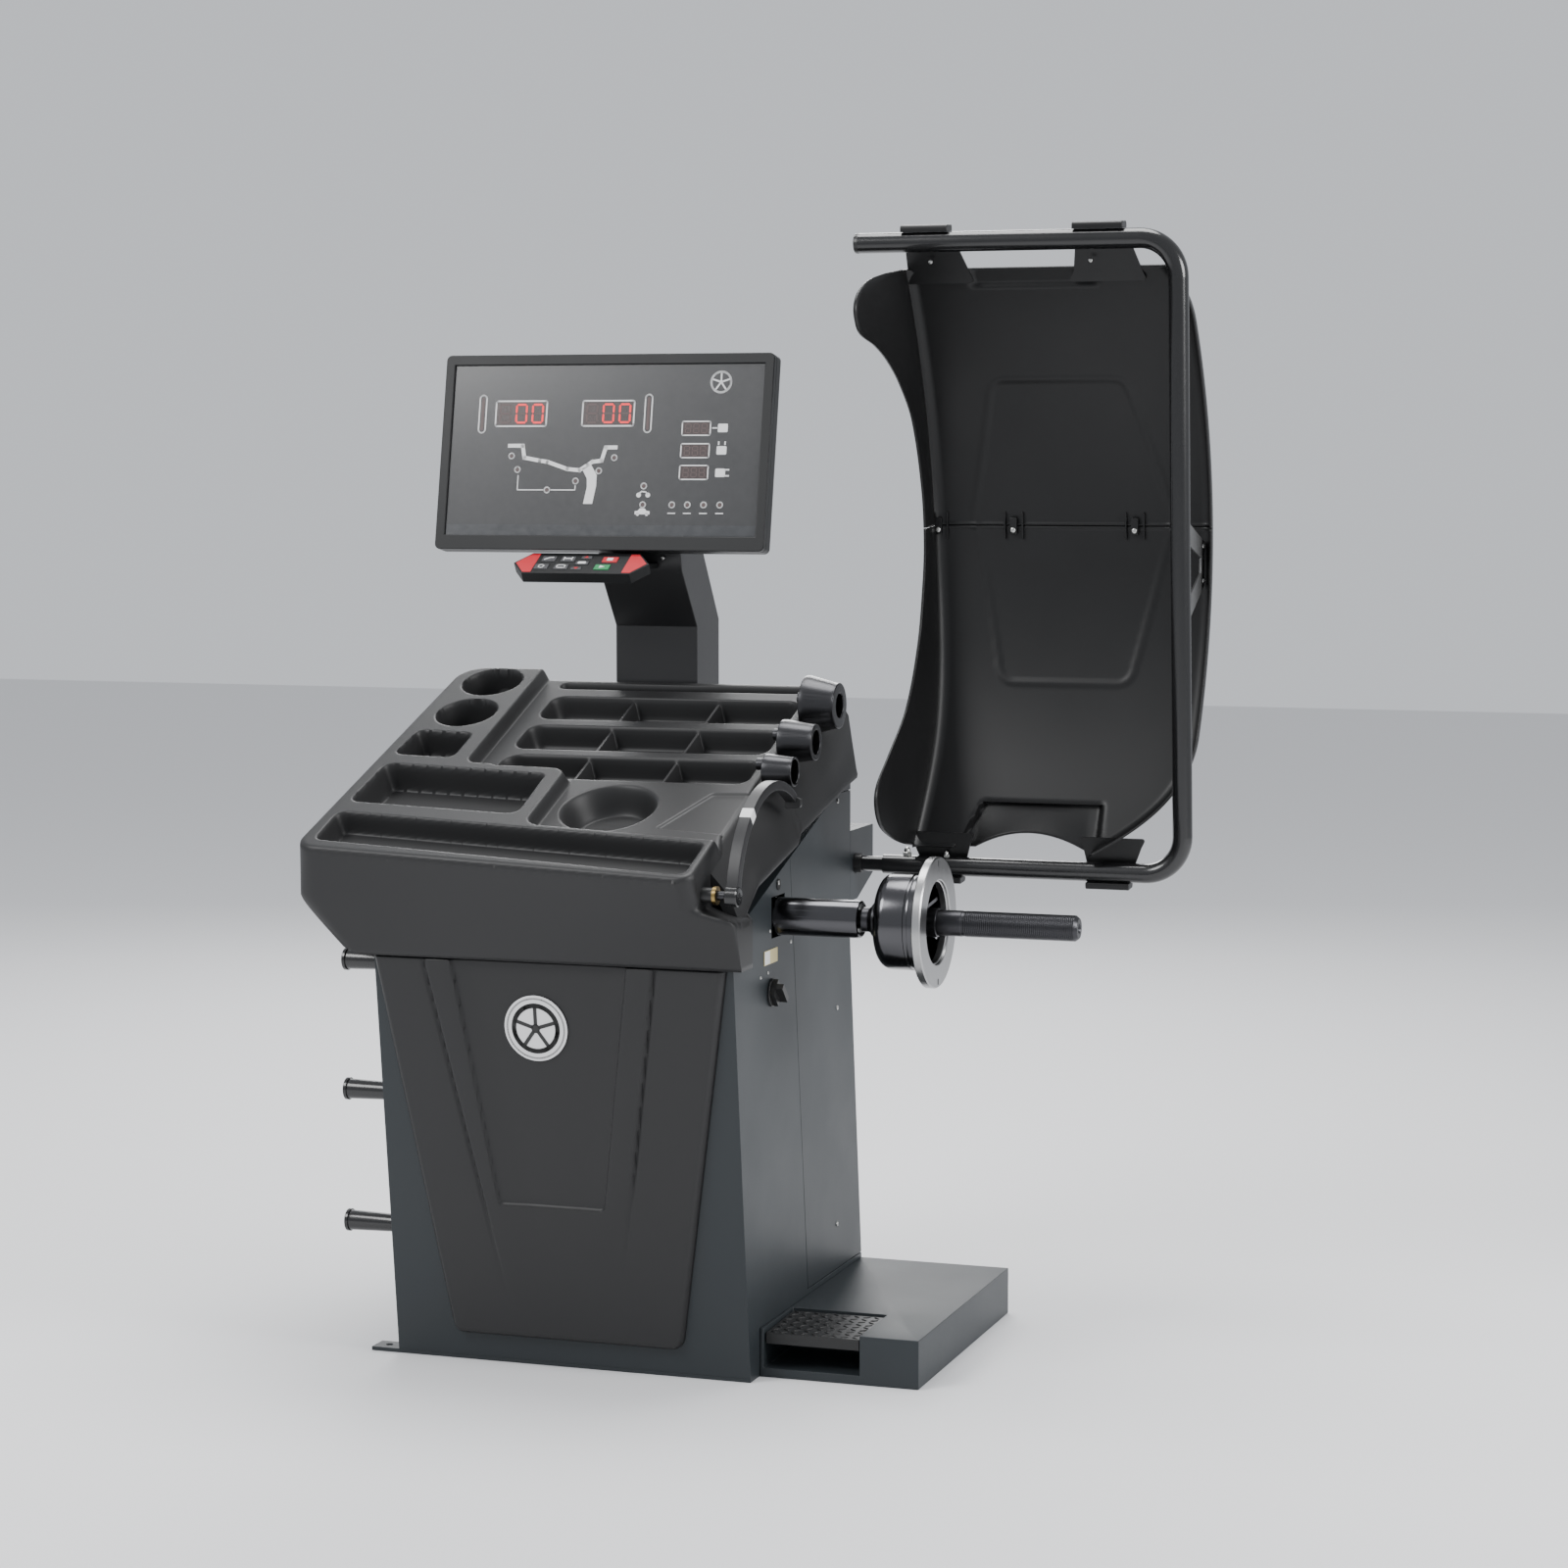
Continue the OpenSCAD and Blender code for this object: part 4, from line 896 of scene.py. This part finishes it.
def build_keypad():
    """Red fields at the pad's ends and one mark on each key."""
    for side, label in ((-1, "left"), (1, "right")):
        end = [(side * 115, 0), (side * 94, 28), (side * 80, 28), (side * 80, -28), (side * 94, -28)]
        pad_prints("pad_end_" + label, [end], "cabinet", "red")
    for key, (x, z) in KEY_AT.items():
        if key == "distance":
            art = stroke([(x - 7, z - 3), (x + 2, z + 3), (x + 7, z + 3)], 2)
        elif key == "width":
            art = stroke([(x - 7, z), (x + 7, z)], 2)
            for dx in (-7, 7):
                art += stroke([(x + dx, z - 4), (x + dx, z + 4)], 1.6)
        elif key == "diameter":
            art = stroke(circle(x, z, 4.5, 16), 1.6, True)
        elif key == "mode":
            art = stroke(round_rect(x - 7, z - 4, x + 7, z + 4, 1.5), 1.6, True)
        elif key == "up":
            art = [[(x - 4, z - 2), (x + 4, z - 2), (x, z + 3)]]
        elif key == "down":
            art = [[(x - 4, z + 2), (x, z - 3), (x + 4, z + 2)]]
        elif key == "enter":
            art = [round_rect(x - 7, z - 3, x + 7, z + 3, 2)]
        elif key == "stop":
            art = [box_of(x - 5, z - 4, x + 5, z + 4)]
        else:
            art = [[(x - 4, z - 4), (x + 5, z), (x - 4, z + 4)]]
        colour = "red" if key in ("up", "down") else "white"
        pad_prints("key_mark_" + key, art, "key_" + key, colour, base=1.5)


build_keypad()


# ---------------------------------------------------------------- front cover, badge and side details
# Cover edges, each at its lower and upper end
COVER_Z = (64, 655)
COVER_LEFT = (-198, -295)
COVER_RIGHT = (192, 287)


def cover_half(z):
    """Left and right edge of the cover at height z."""
    t = (z - COVER_Z[0]) / (COVER_Z[1] - COVER_Z[0])
    return [a + (b - a) * t for a, b in (COVER_LEFT, COVER_RIGHT)]


def build_cover():
    """Moulded cover: rolled edge, two creases that fade downwards and a sunk middle field."""
    recess = fillet([(-162, 660), (129, 660), (73, 265), (-102, 265)], [4, 4, 8, 8])
    nz, nx = 260, 230
    zs = np.linspace(44, 654.5, nz)
    U = np.linspace(0, 1, nx)
    X, Z = np.zeros((nz, nx)), np.zeros((nz, nx))
    for i, z in enumerate(zs):
        lo_x, hi_x = cover_half(z)
        trim = 20 - math.sqrt(max(0, 400 - max(0, 64 - z) ** 2))
        X[i] = lo_x + trim + (hi_x - lo_x - 2 * trim) * U
        Z[i] = z
    edge = np.minimum(np.minimum(X - X[:, :1], X[:, -1:] - X), np.minimum(Z - 44, 12))
    D = 1.0 + 11.6 * np.sin(np.clip(edge / 10, 0, 1) * math.pi / 2)
    rec = inside_depth(recess, X, Z)
    D -= 5.4 * smooth(rec / 3.2 + 0.5)
    for (xa, za), (xb, zb), side in (((-204, 644), (-103, 155), 1), ((171, 654), (105, 210), -1)):
        t = np.clip((za - Z) / (za - zb), 0, 1.15)
        line = xa + (xb - xa) * t
        off = (X - line) * side
        fade = smooth((1.1 - t) * 2.2)
        ridge = smooth(off / 4 + 0.5) - smooth((off - 22) / 60)
        D += 3.4 * fade * ridge * (edge > 8) - 2.6 * fade * np.exp(-((off + 3) / 3) ** 2) * (edge > 8)
    D = np.minimum(D, 16.0)
    verts = [FRONT_M @ (Vector((X[i, j], -D[i, j], Z[i, j])) * MM) for i in range(nz) for j in range(nx)]
    ob = piece("cover_moulding", verts, grid_faces(nz, nx), "cabinet", "charcoal", angle=50)
    th = ob.modifiers.new("wall", "SOLIDIFY")
    th.thickness = 0.0024
    th.offset = -1
    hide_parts("front_cover")


def build_badge():
    """Round medallion with a plain wheel on it."""
    x, z = -26, 551
    plate = prints("badge_plate", [circle(x, z, 52, 72)], -10.4, -8.3, "cabinet", "white", FRONT_M)
    add_bevel(plate, 0.0008, 2)
    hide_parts("front_badge")
    prints("badge_wheel", wheel_icon(x, z, 36), -10.9, -10.2, "cabinet", "black", FRONT_M)
    prints("badge_ring", stroke(circle(x, z, 47, 72), 2.4, True), -10.9, -10.2, "cabinet", "dim_white",
           FRONT_M)


build_cover()
build_badge()
SIDE_SCREWS = [(0, 760, 4.0), (-40, 689, 2.6), (-85, 622, 2.6), (-50, 625, 2.6), (60, 660, 3.2),
               (300, 860, 4), (300, 520, 4), (300, 160, 4)]
for i, (y, z, r) in enumerate(SIDE_SCREWS):
    screw("cabinet_screw_%d" % i, (296.1, y, z), (1, 0, 0), r, "cabinet", head=1.6)
REAR_SCREWS = [(x, z) for z in (600, 320, 60, 820) for x in (-262, 262)]
for i, (x, z) in enumerate(REAR_SCREWS):
    y = 370 if z > 620 else 445 - 75 * z / 620
    screw("rear_screw_%d" % i, (x, y - 0.5, z), (0, 1, 0.1), 4, "cabinet", head=1.8)
side_flip = Matrix(((0, -1, 0, 0.2969), (1, 0, 0, 0), (0, 0, 1, 0), (0, 0, 0, 1)))
prints("plate_white_field", [round_rect(-67, 639, -43, 659, 1)], -0.35, 0.1, "cabinet", "white", side_flip)
# Dark disc of painted shade around the screw, standing in for the shadowed hole it sits in
prints("dome_hole_shade", [circle(0, 757, 9, 28)], -0.35, 0.1, "cabinet", "recess_shade", side_flip)
screw("arm_screw", (-4, 292.4, 1253), (0, -1, -0.2), 3.4, "cabinet")
# Thin white strip along the arm's top edge: a painted highlight where the edge catches the light
line = prism("arm_edge_highlight", [(-0.026, 1.2615), (0.012, 1.2615), (0.012, 1.2640), (-0.026, 1.2640)],
             0.2895, 0.2925, "cabinet", "white", bevel=0.0004)
soften("switch_knob", "switch", "black", 0.0022)
soften("power_switch", "cabinet", "black", 0.001)


# ---------------------------------------------------------------- spindle
def turned(name, profile, body, look, node=None, centre=(0, SPINDLE_Z), steps=128, angle=25):
    ob = lathe(name, profile, body, look, centre, steps=steps, angle=angle)
    if node:
        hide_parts(node)
    return ob


def build_spindle():
    """Bearing tube, shaft with its thread, backing bell with ribs and hub, and the clamping flange."""
    housing = [(62, 26.1), (62, 29.0), (63, 29.5), (428, 29.5), (431.5, 28.6), (433, 26.5), (432.6, 26.1),
               (62, 26.1)]
    turned("housing_turned", housing, "cabinet", "chrome", "spindle_housing")
    prof = [(8, 0), (8, 14), (9, 15), (433, 15), (434, 17.5), (436, 19), (446, 19), (449, 21), (452, 25.5),
            (455, 28.8), (457, 29.5), (463, 29.5), (465.5, 28.2), (466, 26), (466, 22), (555, 22), (556, 20),
            (594, 20), (595, 19.4), (599, 19.4), (600, 20)]
    x = 600.0
    pitch = 3.0
    while x < 770:
        prof += [(x + 0.4, 20.0), (x + pitch * 0.5, 19.35), (x + pitch - 0.4, 20.0)]
        x += pitch
    prof += [(771.5, 19.8), (772.5, 19.0), (776.2, 16.4), (777, 15.4), (777, 8.2), (776, 7.2), (772, 5),
             (759, 5), (757, 0)]
    turned("shaft_turned", prof, "spindle", "oxide", "spindle_shaft", angle=20)
    bell = [(467, 22.1), (467, 44)] + arc(487, 55, 20, 200, 90, 11)
    bell += [(519, 75), (519.6, 74), (521, 73.6), (524, 73.6), (525.4, 74), (526, 75), (540.4, 75),
             (540.6, 74.4), (540.6, 62.6), (497, 61.4), (493, 58), (492, 54), (492, 22.1), (467, 22.1)]
    turned("bell_turned", bell, "spindle", "chrome", "backing_bell")
    turned("flange_turned", [(541, 62.8), (541, 99.6), (542.4, 101), (553.2, 101), (555, 99.4), (555, 66.4),
                             (554.2, 65.2), (551, 64.6), (550, 62.8), (541, 62.8)], "spindle", "bright",
           "flange_disc")
    verts, faces = [], []
    for k in range(6):
        a = math.radians(30 + 60 * k)
        ca, sa = math.cos(a), math.sin(a)
        b = len(verts)
        for x0, r, w in ((493, 23, 4), (493, 60.5, 4), (538, 60.5, 3), (520, 23, 3)):
            for sgn in (-1, 1):
                verts.append(Vector((x0, r * ca - sgn * w * sa, SPINDLE_Z + r * sa + sgn * w * ca)) * MM)
        faces += [(b, b + 2, b + 4, b + 6), (b + 1, b + 7, b + 5, b + 3), (b, b + 1, b + 3, b + 2),
                  (b + 2, b + 3, b + 5, b + 4), (b + 4, b + 5, b + 7, b + 6), (b + 6, b + 7, b + 1, b)]
    piece("bell_ribs", verts, faces, "spindle", "chrome", smooth=False)
    turned("bell_hub", [(493, 22.2), (493, 31), (530, 30), (533, 28), (534, 22.2)], "spindle", "chrome")
    flange_flip = Matrix(((0, -1, 0, 0.555), (1, 0, 0, 0), (0, 0, 1, SPINDLE_Z * MM), (0, 0, 0, 1)))
    marks = [box_of(-1.6, 87, 1.6, 96), box_of(-1.6, -96, 1.6, -87)]
    # The two dark marks are painted shade standing in for the recessed marks on the flange face
    prints("flange_mark_shade", marks, -0.25, 0.1, "spindle", "recess_shade", flange_flip)


build_spindle()


# ---------------------------------------------------------------- distance gauge
ARM_C = (-75.0, 742.0)
ARM_R = 176.0


def arm_sweep(name, a0, a1, x0, x1, half0, half1, look, grow=0.0):
    """Part of the gauge arm: a rounded section swept about the arm's centre, from a0 to a1 degrees."""
    verts = []
    rows = 41
    sect = round_rect(x0 - grow, -1, x1 + grow, 1, 0.45, 4)
    for i in range(rows):
        t = i / (rows - 1)
        a = math.radians(a0 + (a1 - a0) * t)
        half = half0 + (half1 - half0) * t + grow
        for x, v in sect:
            r = ARM_R + v * half
            verts.append(Vector((x, ARM_C[0] + r * math.cos(a), ARM_C[1] + r * math.sin(a))) * MM)
    ob = piece(name, verts, tube_faces(rows, len(sect)), "gauge_swing", look, angle=50)
    return ob


def build_gauge():
    bar = arm_sweep("gauge_bar", 172, 57, 301, 319, 9.5, 6.4, "arm")
    add_bevel(bar, 0.0014, 3, 40)
    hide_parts("gauge_arm")
    arm_sweep("gauge_band", 125, 131, 301, 319, 8.3, 8.2, "white", grow=0.3)
    hub = [(300.3, 7), (300.3, 14), (301.5, 15.8), (318, 15.8), (319.7, 14.2), (320, 12), (320, 5.4),
           (317.5, 4.6), (317.5, 0)]
    turned("gauge_hub", hub, "gauge_swing", "tube", centre=(-250, 768), steps=64)
    tip_y = ARM_C[0] + ARM_R * math.cos(math.radians(56))
    tip_z = ARM_C[1] + ARM_R * math.sin(math.radians(56))
    tip = fillet([(300, tip_z - 15), (326, tip_z - 12), (326, tip_z + 1), (316, tip_z + 5), (300, tip_z + 3)],
                 [3, 4, 3, 3, 3], 3)
    clip = prism("gauge_tip", tip, tip_y - 4, tip_y + 5, "gauge_swing", "black", TO_METRES, 0.0012)


build_gauge()


# ---------------------------------------------------------------- pedal and pegs
def build_pedal():
    """Pedal plate with its raised lozenges."""
    soften("brake_pedal", "brake", "tread", 0.0012)
    place = Matrix.Translation((0, 0.046, 0.064)) @ Matrix.Rotation(math.radians(2), 4, "X")
    verts, faces = [], []
    for i in range(9):
        for j in range(9):
            cx, cy = 314 + i * 16.5, -122 + j * 14.5
            turn = math.radians(35 if (i + j) % 2 else -35)
            b = len(verts)
            faces += grid_faces(2, 12, True, b) + [tuple(b + 12 + k for k in range(12))]
            for half, w, h in ((7.2, 2.6, 8.9), (5.0, 1.6, 10.2)):
                for k in range(12):
                    a = 2 * math.pi * k / 12
                    lx, ly = half * math.cos(a), w * math.sin(a)
                    verts.append(place @ (Vector((cx + lx * math.cos(turn) - ly * math.sin(turn),
                                                  cy + lx * math.sin(turn) + ly * math.cos(turn), h)) * MM))
    piece("pedal_studs", verts, faces, "brake", "tread", angle=60)


build_pedal()

acorn("pivot_acorn_left", (385, 400, 763), (0, 0, 1), 6.5, 15, "hood")
acorn("pivot_acorn_right", (452, 400, 763), (0, 0, 1), 4.5, 10, "hood")
